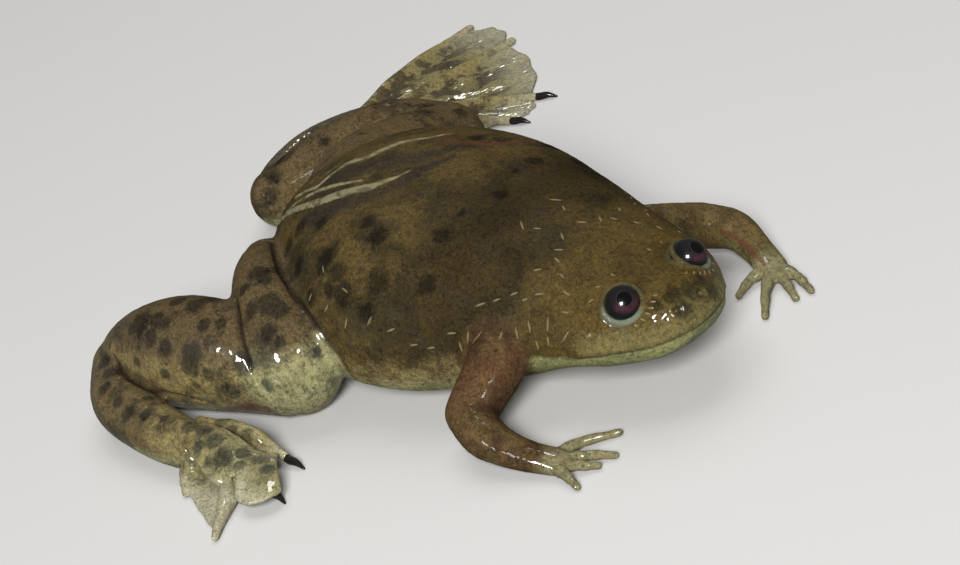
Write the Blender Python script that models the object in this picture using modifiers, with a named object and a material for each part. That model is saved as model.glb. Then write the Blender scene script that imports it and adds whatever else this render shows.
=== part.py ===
"""African clawed frog, life size, crouched on a flat floor with both hind legs folded.

The frog's own frame: +X to the snout, +Y to its left, +Z up, the origin on the floor under the belly.
The flesh is modelled whole, as lofts fused into one smooth skin, and then parted by thin cuts.
All sizes and places below are in millimetres; mesh_object turns them into metres.
"""

import math

import bmesh
import bpy
import numpy as np
from mathutils import Matrix, Vector

MM = 0.001
GAP = 0.3

# Body, as stations along X: x, middle, half width, lowest, widest level, highest
BODY_STATIONS = (
    (-33.0, 1.6, 5.6, 3.2, 7.2, 11.0),
    (-30.0, 2.3, 8.4, 1.4, 7.4, 14.4),
    (-26.0, 2.8, 11.6, 0.2, 7.6, 17.2),
    (-19.0, 2.4, 16.0, -0.5, 8.0, 19.8),
    (-10.0, 0.8, 19.0, -0.8, 8.2, 21.0),
    (0.0, 0.0, 18.6, -0.8, 8.0, 20.4),
    (9.0, 0.0, 15.4, 0.0, 7.8, 18.4),
    (16.0, 0.0, 12.7, 1.8, 7.6, 16.2),
    (22.0, 0.0, 11.0, 3.6, 7.7, 14.4),
    (27.0, 0.0, 9.3, 4.1, 7.9, 13.1),
    (31.0, 0.0, 6.7, 4.7, 7.9, 12.2),
    (34.5, 0.0, 4.7, 5.6, 7.9, 11.6),
)
RUMP_CAP = 5.0
SNOUT_CAP = 3.6
POWER_ABOVE = 2.15
POWER_BELOW = 2.5
BODY_RINGS = 44
BODY_SIDES = 48
BODY_AXIS_Z = 8.0
LIMB_SIDES, LIMB_RINGS = 24, 16

# The neck bends the head a little to the frog's right
TURN_FROM_X = 8.0
TURN_TO_X = 24.0
HEAD_TURN = math.radians(7.8)

# Limb knots: x, y, z, half width, half height. A right and a left one lie differently.
THIGH_RIGHT = ((-27.4, -8.4, 8.9, 3.8, 4.8), (-22.8, -12.8, 9.0, 4.3, 6.5),
               (-17.4, -17.0, 8.0, 4.9, 7.1), (-12.8, -19.4, 5.8, 5.0, 6.4))
SHANK_RIGHT = ((-14.4, -20.2, 5.4, 4.8, 5.4), (-22.3, -21.2, 6.7, 5.4, 6.8),
               (-30.5, -22.2, 6.6, 5.8, 6.7), (-37.2, -23.3, 5.4, 4.3, 5.2), (-40.2, -24.4, 4.2, 3.4, 3.9))
TARSUS_RIGHT = ((-40.2, -25.2, 3.8, 3.3, 3.6), (-35.5, -29.0, 3.5, 3.4, 3.7),
                (-28.5, -31.2, 3.1, 3.3, 3.3), (-22.5, -32.2, 2.7, 3.1, 2.9), (-17.0, -32.2, 1.8, 2.8, 2.0))
THIGH_LEFT = ((-27.5, 4.0, 9.0, 6.0, 6.2), (-32.0, 13.0, 7.8, 6.6, 7.2),
              (-33.5, 22.0, 6.3, 6.2, 6.4), (-34.5, 29.0, 5.1, 4.8, 5.2))
SHANK_LEFT = ((-34.5, 29.0, 5.1, 4.8, 5.2), (-40.5, 26.0, 5.8, 5.6, 6.0),
              (-46.5, 20.5, 5.4, 5.2, 5.6), (-51.0, 15.8, 4.3, 4.0, 4.4), (-52.7, 13.6, 3.9, 3.4, 3.9))
TARSUS_LEFT = ((-53.4, 14.4, 3.7, 3.3, 3.6), (-57.4, 20.0, 3.1, 3.2, 3.3),
               (-59.4, 27.0, 2.8, 3.3, 3.0), (-59.4, 33.0, 2.2, 3.9, 2.4), (-58.6, 37.5, 1.6, 4.4, 1.8))
UPPER_ARM_RIGHT = ((13.0, -8.0, 9.0, 3.8, 3.4), (14.2, -14.5, 6.6, 3.3, 3.1), (13.8, -19.2, 3.9, 2.7, 2.8))
FOREARM_RIGHT = ((13.8, -19.2, 3.9, 2.7, 2.8), (17.5, -21.2, 3.1, 2.4, 2.4),
                 (22.5, -21.2, 1.7, 1.8, 1.7), (27.0, -20.4, 1.0, 1.8, 1.2))
UPPER_ARM_LEFT = ((13.0, 8.0, 9.0, 3.8, 3.4), (14.0, 14.5, 6.4, 3.2, 3.0), (14.8, 19.8, 3.9, 2.6, 2.7))
FOREARM_LEFT = ((14.8, 19.8, 3.9, 2.6, 2.7), (18.6, 20.8, 3.2, 2.3, 2.3),
                (22.6, 19.6, 1.7, 1.8, 1.7), (26.0, 17.6, 1.0, 1.9, 1.2))

LIMBS = (THIGH_RIGHT, SHANK_RIGHT, TARSUS_RIGHT, THIGH_LEFT, SHANK_LEFT, TARSUS_LEFT,
         UPPER_ARM_RIGHT, FOREARM_RIGHT, UPPER_ARM_LEFT, FOREARM_LEFT)

# Toes I to V and fingers I to IV, each through three places, root, middle and tip
TOES_RIGHT = (
    ((-19.5, -30.4, 3.9), (-13.0, -28.7, 3.0), (-7.2, -29.0, 0.8)),
    ((-17.0, -32.0, 1.8), (-9.8, -32.6, 1.4), (-4.2, -34.2, 0.5)),
    ((-17.2, -32.7, 1.7), (-11.5, -33.6, 1.5), (-7.4, -34.7, 1.2)),
    ((-17.6, -33.4, 1.5), (-10.6, -35.2, 1.0), (-4.6, -42.8, 0.42)),
    ((-18.2, -34.0, 1.4), (-17.3, -35.4, 1.0), (-15.4, -37.5, 0.42)),
)
TOES_LEFT = (
    ((-56.0, 34.5, 1.7), (-48.5, 36.4, 0.9), (-41.4, 37.4, 0.45)),
    ((-56.4, 35.4, 1.7), (-46.6, 39.8, 0.9), (-37.4, 42.2, 0.45)),
    ((-57.2, 36.6, 1.7), (-47.6, 44.2, 0.9), (-38.4, 48.6, 0.45)),
    ((-59.0, 37.4, 1.7), (-57.0, 50.2, 1.0), (-55.6, 62.2, 0.42)),
    ((-61.4, 36.6, 1.7), (-65.8, 50.4, 1.1), (-66.4, 64.8, 0.42)),
)
FINGERS_RIGHT = (
    ((25.4, -20.2, 1.0), (26.2, -16.8, 0.8), (28.9, -13.3, 0.36)),
    ((26.8, -20.3, 1.0), (29.0, -18.2, 0.8), (31.3, -16.8, 0.36)),
    ((26.8, -20.6, 1.0), (29.0, -20.0, 0.8), (30.8, -18.9, 0.36)),
    ((26.6, -21.0, 1.0), (29.2, -22.0, 0.8), (31.0, -22.6, 0.36)),
)
FINGERS_LEFT = (
    ((25.4, 17.6, 1.0), (24.6, 15.2, 0.8), (24.8, 12.6, 0.36)),
    ((26.0, 17.4, 1.0), (28.2, 13.4, 0.8), (30.8, 9.7, 0.36)),
    ((26.2, 17.6, 1.0), (29.4, 15.6, 0.8), (31.9, 13.8, 0.36)),
    ((26.0, 18.0, 1.0), (29.6, 17.2, 0.8), (32.8, 15.5, 0.36)),
)
TOE_RADII = (1.0, 0.8, 0.5)
FINGER_RADII = (0.9, 0.6, 0.42)
WEB_THICKNESS = 0.55
WEB_ROOT, WEB_EDGE = 0.12, 0.93
WEB_HOLLOWS_RIGHT = (0.22, 0.22, 0.22, 0.22)
WEB_HOLLOWS_LEFT = (0.05, -0.12, -0.13, -0.14)
CLAWED_TOES = 3
CLAW_LENGTH = 2.4
CLAW_RADII = (0.5, 0.4, 0.14)
CLAW_ARCH = 0.25

EYE_RADIUS = 2.0
EYE_PLACE = (28.9, 4.85, 11.8)
EYE_LOOK = (0.50, 0.42, 0.76)
LID_RADIUS = 0.42
LID_RING_RADIUS = 2.15
LID_FORWARD = 0.5
NOSTRIL_X, NOSTRIL_DEGREES = 33.5, 62.0
NOSTRIL_RADIUS = 0.42
NOSTRIL_RIM = 0.3
# The cut between head and lower jaw seen from the side, x and z: down behind the jaw, then level
MOUTH_LINE = ((21.4, -1.0), (21.8, 4.4), (23.4, 6.5), (26.0, 7.1), (30.0, 7.0), (37.0, 7.3))
MOUTH_SIDE_REACH = 14.0
LIP_FROM_X, LIP_TO_X = 24.5, 34.15
LIP_UNDERSIDE = 7.05
LIP_RADIUS = 0.5

# Lateral line: short raised stitches in rows along each side. A row's ends as places along X and
# angles round the body from the left side over the back, the number, and the stitches' lean from the row
STITCH_ROWS = (
    ((-13.0, 152.0), (2.5, 160.0), 6, 75.0),
    ((4.5, 166.0), (24.5, 162.0), 9, 70.0),
    ((12.0, 150.0), (22.5, 128.0), 5, 10.0),
    ((22.0, 122.0), (13.0, 101.0), 4, 60.0),
)
STITCH_LENGTH = 1.7
STITCH_RADIUS = 0.3
STITCH_SUNK = 0.35
STITCH_WOBBLE = 14
STITCH_SEED = 5

VOXEL = 0.45
SMOOTHING = 8
FLESH_TRIANGLES = 5600
FLOOR_BLOCK = 300

# Thin cuts that part the flesh: a place in each, the way it faces, and its radius
CUTS = (
    ((19.4, -0.6, 8.5), (1.0, -0.1, 0.14), 14.5),       # neck
    ((14.2, -14.2, 6.8), (0.36, -0.9, -0.25), 5.6),     # right shoulder
    ((13.9, -19.0, 3.9), (0.5, -0.87, 0.1), 4.6),       # right elbow
    ((24.4, -20.9, 1.8), (1.0, 0.1, -0.1), 3.0),        # right wrist
    ((14.2, 14.0, 6.8), (0.36, 0.9, -0.25), 5.6),       # left shoulder
    ((15.0, 19.4, 3.9), (0.5, 0.87, 0.1), 4.6),         # left elbow
    ((24.0, 18.9, 1.9), (0.8, -0.5, -0.1), 3.0),        # left wrist
    ((-19.2, -12.0, 8.0), (-0.56, -0.83, 0.0), 17.0),   # right hip
    ((-21.2, -19.2, 6.0), (-0.6, -0.8, 0.0), 12.4),     # right knee
    ((-31.2, -26.9, 4.5), (-0.19, -0.98, 0.0), 13.4),   # right heel
    ((-21.5, -32.9, 3.0), (1.0, 0.1, 0.0), 4.2),        # right ankle
    ((-27.0, 12.0, 8.0), (-0.74, 0.67, 0.0), 13.5),     # left hip
    ((-38.8, 21.5, 6.0), (-0.98, 0.18, 0.0), 12.4),     # left knee
    ((-53.4, 17.0, 4.0), (-0.94, 0.34, 0.0), 7.6),      # left heel
    ((-59.4, 30.5, 3.0), (0.0, 1.0, 0.0), 5.4),         # left ankle
)
# A place near the middle of each piece of flesh
PIECES = {
    "head": (26, -1, 9), "lower_jaw": (28, -1, 4.5), "torso": (-8, 0, 9),
    "upper_arm_right": (14, -16, 6), "forearm_right": (19, -20.5, 3), "hand_right": (26.5, -20.6, 1.5),
    "upper_arm_left": (14, 16, 6), "forearm_left": (19, 20, 3), "hand_left": (25.5, 18, 1.5),
    "thigh_right": (-20, -16, 8), "shank_right": (-30, -21, 6), "tarsus_right": (-31, -30, 4),
    "foot_right": (-18.5, -32.7, 2.4), "thigh_left": (-33, 20, 7), "shank_left": (-45, 21, 6),
    "tarsus_left": (-57, 22, 3.5), "foot_left": (-56.8, 34.5, 2.2),
}
SMALLEST_PIECE = 20

OLIVE = (0.085, 0.058, 0.026)
PALE = (0.42, 0.36, 0.22)
EYE_DARK = (0.012, 0.006, 0.012)
CLAW_BLACK = (0.008, 0.007, 0.006)


def read_smooth(knots, values, at):
    """Values of a smooth curve through the knots, read at the given places along them."""
    knots, values, at = (np.asarray(v, float) for v in (knots, values, at))
    slopes = np.gradient(values, knots, axis=0)
    k = np.clip(np.searchsorted(knots, at, side="right") - 1, 0, len(knots) - 2)
    span = (knots[k + 1] - knots[k])[:, None]
    s = (at - knots[k])[:, None] / span
    later = s * s * (3 - 2 * s)
    return ((1 - later) * values[k] + later * values[k + 1]
            + span * (s * (1 - s) ** 2 * slopes[k] + s * s * (s - 1) * slopes[k + 1]))


def turn_head(points):
    """Bends what lies ahead of TURN_FROM_X round to the right, as the neck does."""
    points = np.array(points, float)
    reach = TURN_TO_X - TURN_FROM_X
    curve = HEAD_TURN / reach
    ahead = points[..., 0] > TURN_FROM_X
    angle = curve * np.clip(points[..., 0] - TURN_FROM_X, 0, reach)
    beyond = np.maximum(points[..., 0] - TURN_TO_X, 0)
    side = points[..., 1].copy()
    x = TURN_FROM_X + np.sin(angle) / curve + beyond * math.cos(HEAD_TURN) + side * np.sin(angle)
    y = (np.cos(angle) - 1) / curve - beyond * math.sin(HEAD_TURN) + side * np.cos(angle)
    points[..., 0] = np.where(ahead, x, points[..., 0])
    points[..., 1] = np.where(ahead, y, points[..., 1])
    return points


def mesh_object(name, points, faces, collection):
    """A mesh object of the points in metres, with every face turned outwards."""
    mesh = bpy.data.meshes.new(name)
    mesh.from_pydata((np.asarray(points) * MM).tolist(), [], faces)
    build = bmesh.new()
    build.from_mesh(mesh)
    bmesh.ops.recalc_face_normals(build, faces=build.faces)
    build.to_mesh(mesh)
    build.free()
    obj = bpy.data.objects.new(name, mesh)
    collection.objects.link(obj)
    return obj


def ring_faces(rings, sides):
    """Quads between rings of points and a cap on each end."""
    faces = [tuple(range(sides)), tuple(range((rings - 1) * sides, rings * sides))]
    for r in range(rings - 1):
        for s in range(sides):
            a, b = r * sides + s, r * sides + (s + 1) % sides
            faces.append((a, b, b + sides, a + sides))
    return faces


def body_section(x, turn=None):
    """One ring of head or trunk at x, rounder above than below, before the head is turned."""
    if turn is None:
        turn = np.arange(BODY_SIDES) * 2 * math.pi / BODY_SIDES
    stations = np.array(BODY_STATIONS)
    first, last = stations[0, 0], stations[-1, 0]
    middle, half, low, widest, high = read_smooth(stations[:, 0], stations[:, 1:], [x])[0]
    into_cap = max((first + RUMP_CAP - x) / RUMP_CAP, (x - last + SNOUT_CAP) / SNOUT_CAP, 0)
    cap = math.sqrt(max(0.0, 1 - into_cap**2))
    c, s = np.cos(turn), np.sin(turn)
    above = s >= 0
    power = 2 / np.where(above, POWER_ABOVE, POWER_BELOW)
    y = middle + half * cap * np.sign(c) * np.abs(c) ** power
    z = widest + np.where(above, high - widest, widest - low) * cap * np.sign(s) * np.abs(s) ** power
    return np.stack([np.full(len(turn), x), y, z], -1)


def body_point(x, degrees):
    """A place on the turned body at x and an angle round it, with the way out of the skin there."""
    angles = np.radians([degrees, degrees + 4, degrees - 4])
    here, left, right = turn_head(body_section(x, angles))
    ahead = turn_head(body_section(x + 0.5, angles[:1]))[0]
    out = np.cross(ahead - here, left - right)
    out /= np.linalg.norm(out)
    middle = turn_head([x, 0, BODY_AXIS_Z])
    return here, out if np.dot(out, here - middle) > 0 else -out


def body_mesh():
    """Points and faces of head and trunk, their rings closer together at both round ends."""
    first, last = BODY_STATIONS[0][0], BODY_STATIONS[-1][0]
    t = np.linspace(0.03, 0.97, BODY_RINGS)
    t = (t + 0.5 - 0.5 * np.cos(math.pi * t)) / 2
    t = (t - t[0]) / (t[-1] - t[0])
    xs = first + 0.02 + (last - first - 0.04) * t
    rings = turn_head([body_section(x) for x in xs])
    return rings.reshape(-1, 3), ring_faces(BODY_RINGS, BODY_SIDES)


def tube_mesh(knots, sides, rings, cap_rings=3, round_start=True, round_end=True):
    """Points and faces of a fleshy tube through knots of x, y, z, half width and half height."""
    knots = np.asarray(knots, float)
    steps = np.linalg.norm(np.diff(knots[:, :3], axis=0), axis=1)
    along = np.concatenate([[0], np.cumsum(steps)])
    at = np.linspace(0, along[-1], rings)
    rows = read_smooth(along, knots, at)
    centre, size = rows[:, :3], rows[:, 3:5]
    tangent = np.gradient(centre, at, axis=0)
    tangent /= np.linalg.norm(tangent, axis=1)[:, None]
    lift = np.minimum(np.sin(np.linspace(0, math.pi / 2, cap_rings + 1)[1:]), 0.99)
    for wanted, end, way in ((round_start, 0, -1), (round_end, -1, 1)):
        if not wanted:
            continue
        order = lift[::-1] if way < 0 else lift
        caps = centre[end] + way * np.outer(order * size[end].min(), tangent[end])
        cap_size = size[end] * np.sqrt(1 - order**2)[:, None]
        cap_tangent = np.repeat(tangent[end][None], cap_rings, 0)
        place = 0 if way < 0 else len(centre)
        centre = np.insert(centre, place, caps, 0) if way > 0 else np.vstack([caps, centre])
        size = np.insert(size, place, cap_size, 0) if way > 0 else np.vstack([cap_size, size])
        tangent = np.vstack([tangent, cap_tangent]) if way > 0 else np.vstack([cap_tangent, tangent])
    side = np.cross(tangent, (0, 0, 1.0))
    side /= np.linalg.norm(side, axis=1)[:, None]
    up = np.cross(side, tangent)
    turn = np.arange(sides) * 2 * math.pi / sides
    points = (centre[:, None] + side[:, None] * (size[:, :1] * np.cos(turn))[..., None]
              + up[:, None] * (size[:, 1:] * np.sin(turn))[..., None])
    return points.reshape(-1, 3), ring_faces(len(centre), sides)


def digit_mesh(places, radii, sides=7, rings=6, round_end=True):
    knots = [(*place, radius, radius) for place, radius in zip(places, radii)]
    return tube_mesh(knots, sides, rings, cap_rings=2, round_start=False, round_end=round_end)


def digit_path(places, at):
    """Places on the middle line of a digit, at parts of its length from 0 to 1."""
    places = np.asarray(places, float)
    steps = np.linalg.norm(np.diff(places, axis=0), axis=1)
    along = np.concatenate([[0], np.cumsum(steps)])
    return read_smooth(along / along[-1], places, np.atleast_1d(at))


def web_mesh(places_a, places_b, hollow, rows=6, columns=4):
    """A thin web between two toes, its free edge hollow, with both faces split alike."""
    across = np.linspace(0, 1, columns)
    reach = WEB_EDGE - hollow * np.sin(math.pi * across)
    grid = np.zeros((rows, columns, 3))
    for j, (v, far) in enumerate(zip(across, reach)):
        at = np.linspace(WEB_ROOT, far, rows)
        grid[:, j] = digit_path(places_a, at) * (1 - v) + digit_path(places_b, at) * v
    half = (0, 0, WEB_THICKNESS / 2)
    points = np.concatenate([(grid + half).reshape(-1, 3), (grid - half).reshape(-1, 3)])
    count, faces = rows * columns, []
    for i in range(rows - 1):
        for j in range(columns - 1):
            a = i * columns + j
            b, c, d = a + 1, a + columns + 1, a + columns
            for p, q, r in ((a, b, c), (a, c, d)):
                faces += [(p, q, r), (r + count, q + count, p + count)]
    rim = [j for j in range(columns)] + [i * columns + columns - 1 for i in range(1, rows)]
    rim += [(rows - 1) * columns + j for j in range(columns - 2, -1, -1)]
    rim += [i * columns for i in range(rows - 2, 0, -1)]
    for a, b in zip(rim, rim[1:] + rim[:1]):
        faces += [(b, a, a + count), (b, a + count, b + count)]
    return points, faces


def applied(obj):
    """Puts the result of the object's modifiers into its own mesh."""
    result = bpy.data.meshes.new_from_object(obj.evaluated_get(bpy.context.evaluated_depsgraph_get()))
    old = obj.data
    obj.modifiers.clear()
    obj.data = result
    bpy.data.meshes.remove(old)
    return obj


def move_to(obj, collection):
    for owner in list(obj.users_collection):
        owner.objects.unlink(obj)
    collection.objects.link(obj)


def boolean(obj, others, operation):
    """Joins the others to the object or cuts them out of it, and removes them."""
    group = bpy.data.collections.new("boolean")
    bpy.context.scene.collection.children.link(group)
    for other in others:
        move_to(other, group)
    modifier = obj.modifiers.new("boolean", "BOOLEAN")
    modifier.operand_type, modifier.operation, modifier.solver = "COLLECTION", operation, "EXACT"
    modifier.collection = group
    applied(obj)
    for other in others:
        bpy.data.objects.remove(other)
    bpy.data.collections.remove(group)
    return obj


def islands(obj):
    """The separate closed surfaces of a mesh, each as a list of its vertices' indices."""
    mesh = obj.data
    owner = list(range(len(mesh.vertices)))

    def root(i):
        while owner[i] != i:
            owner[i] = owner[owner[i]]
            i = owner[i]
        return i

    for a, b in (edge.vertices for edge in mesh.edges):
        owner[root(a)] = root(b)
    groups = {}
    for i in range(len(owner)):
        groups.setdefault(root(i), []).append(i)
    return list(groups.values())


def keep_vertices(obj, keep):
    build = bmesh.new()
    build.from_mesh(obj.data)
    build.verts.ensure_lookup_table()
    kept = set(keep)
    bmesh.ops.delete(build, geom=[v for v in build.verts if v.index not in kept], context="VERTS")
    build.to_mesh(obj.data)
    build.free()
    return obj


def keep_largest(obj):
    return keep_vertices(obj, max(islands(obj), key=len))


def slab(centre, normal, radius, name="cut"):
    """A round sheet of GAP thickness that parts the flesh, facing along the normal."""
    normal = Vector(normal).normalized()
    bpy.ops.mesh.primitive_cylinder_add(vertices=24, radius=radius * MM, depth=GAP * MM)
    disc = bpy.context.object
    disc.name = name
    disc.matrix_world = Matrix.Translation(Vector(centre) * MM) @ normal.to_track_quat("Z", "Y").to_matrix().to_4x4()
    return disc


def mouth_sheet():
    """The cut between head and lower jaw: level under the upper lip, and down behind the jaw."""
    line = np.array(MOUTH_LINE)
    steps = np.linalg.norm(np.diff(line, axis=0), axis=1)
    along = np.concatenate([[0], np.cumsum(steps)])
    curve = read_smooth(along, line, np.linspace(0, along[-1], 22))
    tangent = np.gradient(curve, axis=0)
    tangent /= np.linalg.norm(tangent, axis=1)[:, None]
    offset = np.stack([-tangent[:, 1], tangent[:, 0]], -1) * GAP / 2
    outline = np.concatenate([curve + offset, (curve - offset)[::-1]])
    widths = np.linspace(-MOUTH_SIDE_REACH, MOUTH_SIDE_REACH, 9)
    rings = [np.stack([outline[:, 0], np.full(len(outline), y), outline[:, 1]], -1) for y in widths]
    return turn_head(rings).reshape(-1, 3), ring_faces(len(widths), len(outline))


def ball(name, centre, radius, segments=18, rings=10):
    bpy.ops.mesh.primitive_uv_sphere_add(segments=segments, ring_count=rings, radius=radius * MM,
                                         location=Vector(centre) * MM)
    obj = bpy.context.object
    obj.name = name
    return obj


def ring(centre, look, major, minor, segments=20, sides=6):
    bpy.ops.mesh.primitive_torus_add(major_segments=segments, minor_segments=sides,
                                     major_radius=major * MM, minor_radius=minor * MM)
    obj = bpy.context.object
    turn = Vector(look).to_track_quat("Z", "Y").to_matrix().to_4x4()
    obj.matrix_world = Matrix.Translation(Vector(centre) * MM) @ turn
    return obj


def head_direction(direction):
    """A direction of the straight head, turned as the head is."""
    return Vector(direction).normalized() @ Matrix.Rotation(HEAD_TURN, 3, "Z")


def painted(obj, colour, roughness):
    """Gives the object a material of its own."""
    material = bpy.data.materials.new(obj.name)
    material.use_nodes = True
    shader = material.node_tree.nodes["Principled BSDF"]
    shader.inputs["Base Color"].default_value = (*colour, 1)
    shader.inputs["Roughness"].default_value = roughness
    obj.data.materials.clear()
    obj.data.materials.append(material)
    return obj


def whole_flesh():
    """Lofts of body and limbs fused into one skin, smoothed, thinned out and cut level with the floor."""
    fused = bmesh.new()
    lofts = [body_mesh()] + [tube_mesh(knots, LIMB_SIDES, LIMB_RINGS) for knots in LIMBS]
    for points, faces in lofts:
        loft = mesh_object("loft", points, faces, cutters)
        fused.from_mesh(loft.data)
        bpy.data.objects.remove(loft)
    flesh = bpy.data.objects.new("flesh", bpy.data.meshes.new("flesh"))
    cutters.objects.link(flesh)
    fused.to_mesh(flesh.data)
    fused.free()
    remesh = flesh.modifiers.new("fuse", "REMESH")
    remesh.mode, remesh.voxel_size = "VOXEL", VOXEL * MM
    smooth = flesh.modifiers.new("smooth", "SMOOTH")
    smooth.factor, smooth.iterations = 0.5, SMOOTHING
    applied(flesh)
    thin = flesh.modifiers.new("thin", "DECIMATE")
    thin.ratio = FLESH_TRIANGLES / sum(len(face.vertices) - 2 for face in flesh.data.polygons)
    applied(flesh)
    boolean(flesh, [below_floor()], "DIFFERENCE")
    return keep_largest(flesh)


def below_floor():
    """A block whose top is the floor."""
    bpy.ops.mesh.primitive_cube_add(size=1, location=(0, 0, -FLOOR_BLOCK * MM / 4))
    block = bpy.context.object
    block.scale = (FLOOR_BLOCK * MM, FLOOR_BLOCK * MM, FLOOR_BLOCK * MM / 2)
    bpy.context.view_layer.update()
    return block


def add_digits(obj, digits, radii, clawed=0, web_hollows=()):
    """Joins fingers or toes, and any webs between them, to a hand or foot, and levels them on the floor."""
    pieces = []
    for i, places in enumerate(digits):
        pieces.append(mesh_object("digit", *digit_mesh(places, radii, round_end=i >= clawed), cutters))
    for web in zip(digits, digits[1:], web_hollows):
        pieces.append(mesh_object("web", *web_mesh(*web), cutters))
    boolean(obj, pieces, "UNION")
    boolean(obj, [below_floor()], "DIFFERENCE")
    return keep_largest(obj)


def stitch_places():
    """Middle, direction and way out of each lateral-line stitch, on both sides of the body."""
    draw = np.random.default_rng(STITCH_SEED)
    for start, end, count, lean in STITCH_ROWS:
        for part in (np.arange(count) + 0.5) / count:
            part += draw.uniform(-0.15, 0.15) / count
            x, degrees = np.array(start) * (1 - part) + np.array(end) * part
            wobble = draw.uniform(-STITCH_WOBBLE, STITCH_WOBBLE)
            for side in (1, -1):
                angle = degrees if side > 0 else 180 - degrees
                here, out = body_point(x, angle)
                ahead = turn_head([end[0], 0, 0]) - turn_head([start[0], 0, 0])
                ahead -= out * np.dot(ahead, out)
                ahead /= np.linalg.norm(ahead)
                across = np.cross(out, ahead)
                tilt = math.radians(side * (lean + wobble))
                yield here, ahead * math.cos(tilt) + across * math.sin(tilt), out


def stitch(here, along, out):
    """A low bar half sunk in the skin."""
    half = along * STITCH_LENGTH / 2
    sunk = here - out * STITCH_RADIUS * STITCH_SUNK
    knots = [(*(sunk - half), *[STITCH_RADIUS * 0.6] * 2), (*sunk, *[STITCH_RADIUS] * 2),
             (*(sunk + half), *[STITCH_RADIUS * 0.6] * 2)]
    return mesh_object("stitch", *tube_mesh(knots, 5, 3, cap_rings=1), cutters)


def lip():
    """A soft roll along the upper jaw, just above the line of the mouth."""
    places = []
    level = LIP_UNDERSIDE + GAP / 2 + LIP_RADIUS
    for x in np.linspace(LIP_FROM_X, LIP_TO_X, 9):
        ring_places = body_section(x, np.radians(np.linspace(90, 270, 61)))
        lowest = ring_places[np.abs(ring_places[:, 2] - level).argmin()]
        places.append(lowest)
    right = np.array(places)
    left = right[::-1] * (1, -1, 1)
    path = turn_head(np.concatenate([right, left]))
    path[:, 2] = level
    middle = path.mean(0)
    inward = middle - path
    inward[:, 2] = 0
    path += inward / np.linalg.norm(inward, axis=1)[:, None] * LIP_RADIUS * 0.7
    knots = [(*place, LIP_RADIUS, LIP_RADIUS) for place in path]
    return mesh_object("lip", *tube_mesh(knots, 6, 34, cap_rings=1), cutters)


def claw(name, places):
    """A short horny cone, set a gap beyond the flat tip of its toe and bent down to the floor."""
    tip = Vector(places[2])
    ahead = (tip - Vector(digit_path(places, 0.9)[0])).normalized()
    start = tip + ahead * GAP
    flat = Vector((ahead.x, ahead.y, 0)).normalized()
    middle = start + (ahead + flat) * CLAW_LENGTH / 4
    end = start + flat * CLAW_LENGTH
    end.z = CLAW_RADII[2] * 0.7
    middle.z = (start.z + end.z) / 2 + CLAW_ARCH
    knots = [(*place, radius, radius) for place, radius in zip((start, middle, end), CLAW_RADII)]
    mesh = tube_mesh(knots, 7, 4, cap_rings=1, round_start=False)
    obj = mesh_object(name, *mesh, frog)
    return painted(keep_largest(boolean(obj, [below_floor()], "DIFFERENCE")), CLAW_BLACK, 0.2)


for old in list(bpy.data.objects):
    bpy.data.objects.remove(old)
frog = bpy.data.collections.new("african_clawed_frog")
cutters = bpy.data.collections.new("cutters")
for group in (frog, cutters):
    bpy.context.scene.collection.children.link(group)

flesh = whole_flesh()
cuts = [slab(*place) for place in CUTS] + [mesh_object("mouth", *mouth_sheet(), cutters)]
boolean(flesh, cuts, "DIFFERENCE")

# Each piece of flesh becomes the node whose place is nearest to its middle
middles = {}
for island in islands(flesh):
    spots = np.array([flesh.data.vertices[i].co for i in island]) / MM
    if len(island) >= SMALLEST_PIECE:
        middles[tuple((spots.min(0) + spots.max(0)) / 2)] = island
pieces = {}
for name, place in PIECES.items():
    nearest = min(middles, key=lambda middle: math.dist(middle, place))
    piece = bpy.data.objects.new(name, flesh.data.copy())
    frog.objects.link(piece)
    pieces[name] = keep_vertices(piece, middles.pop(nearest))
bpy.data.objects.remove(flesh)

for side, toes, hollows in (("right", TOES_RIGHT, WEB_HOLLOWS_RIGHT), ("left", TOES_LEFT, WEB_HOLLOWS_LEFT)):
    add_digits(pieces["foot_" + side], toes, TOE_RADII, CLAWED_TOES, hollows)
    for number, places in enumerate(toes[:CLAWED_TOES], 1):
        claw(f"claw_{side}_{number}", places)
for side, fingers in (("right", FINGERS_RIGHT), ("left", FINGERS_LEFT)):
    add_digits(pieces["hand_" + side], fingers, FINGER_RADII)

# Eyes in open sockets, each inside a raised ring of lid, and two nostrils in low rims
head = pieces["head"]
lids, sockets = [], []
for side, sign in (("left", 1), ("right", -1)):
    place = Vector(turn_head([EYE_PLACE[0], sign * EYE_PLACE[1], EYE_PLACE[2]]))
    look = head_direction((EYE_LOOK[0], sign * EYE_LOOK[1], EYE_LOOK[2]))
    lids.append(ring(place + look * LID_FORWARD, look, LID_RING_RADIUS, LID_RADIUS))
    sockets.append(ball("socket", place, EYE_RADIUS + GAP))
    eye = ball("eye_" + side, place, EYE_RADIUS)
    move_to(eye, frog)
    painted(eye, EYE_DARK, 0.08)
    nostril, out = body_point(NOSTRIL_X, 90 + sign * (NOSTRIL_DEGREES - 90))
    lids.append(ring(nostril, out, NOSTRIL_RADIUS + NOSTRIL_RIM, NOSTRIL_RIM, 12, 6))
    sockets.append(ball("nostril", nostril + out * NOSTRIL_RIM, NOSTRIL_RADIUS, 10, 6))
boolean(head, lids + [lip()], "UNION")
boolean(head, sockets, "DIFFERENCE")
keep_largest(head)

# Stitches of the lateral line rise from trunk and head, each on the piece that carries its place
neck = turn_head([CUTS[0][0][0], 0, 0])[0]
on_torso, on_head = [], []
for here, along, out in stitch_places():
    if abs(here[0] - neck) > STITCH_LENGTH:
        (on_torso if here[0] < neck else on_head).append(stitch(here, along, out))
boolean(pieces["torso"], on_torso, "UNION")
boolean(head, on_head, "UNION")
keep_largest(head)

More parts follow.
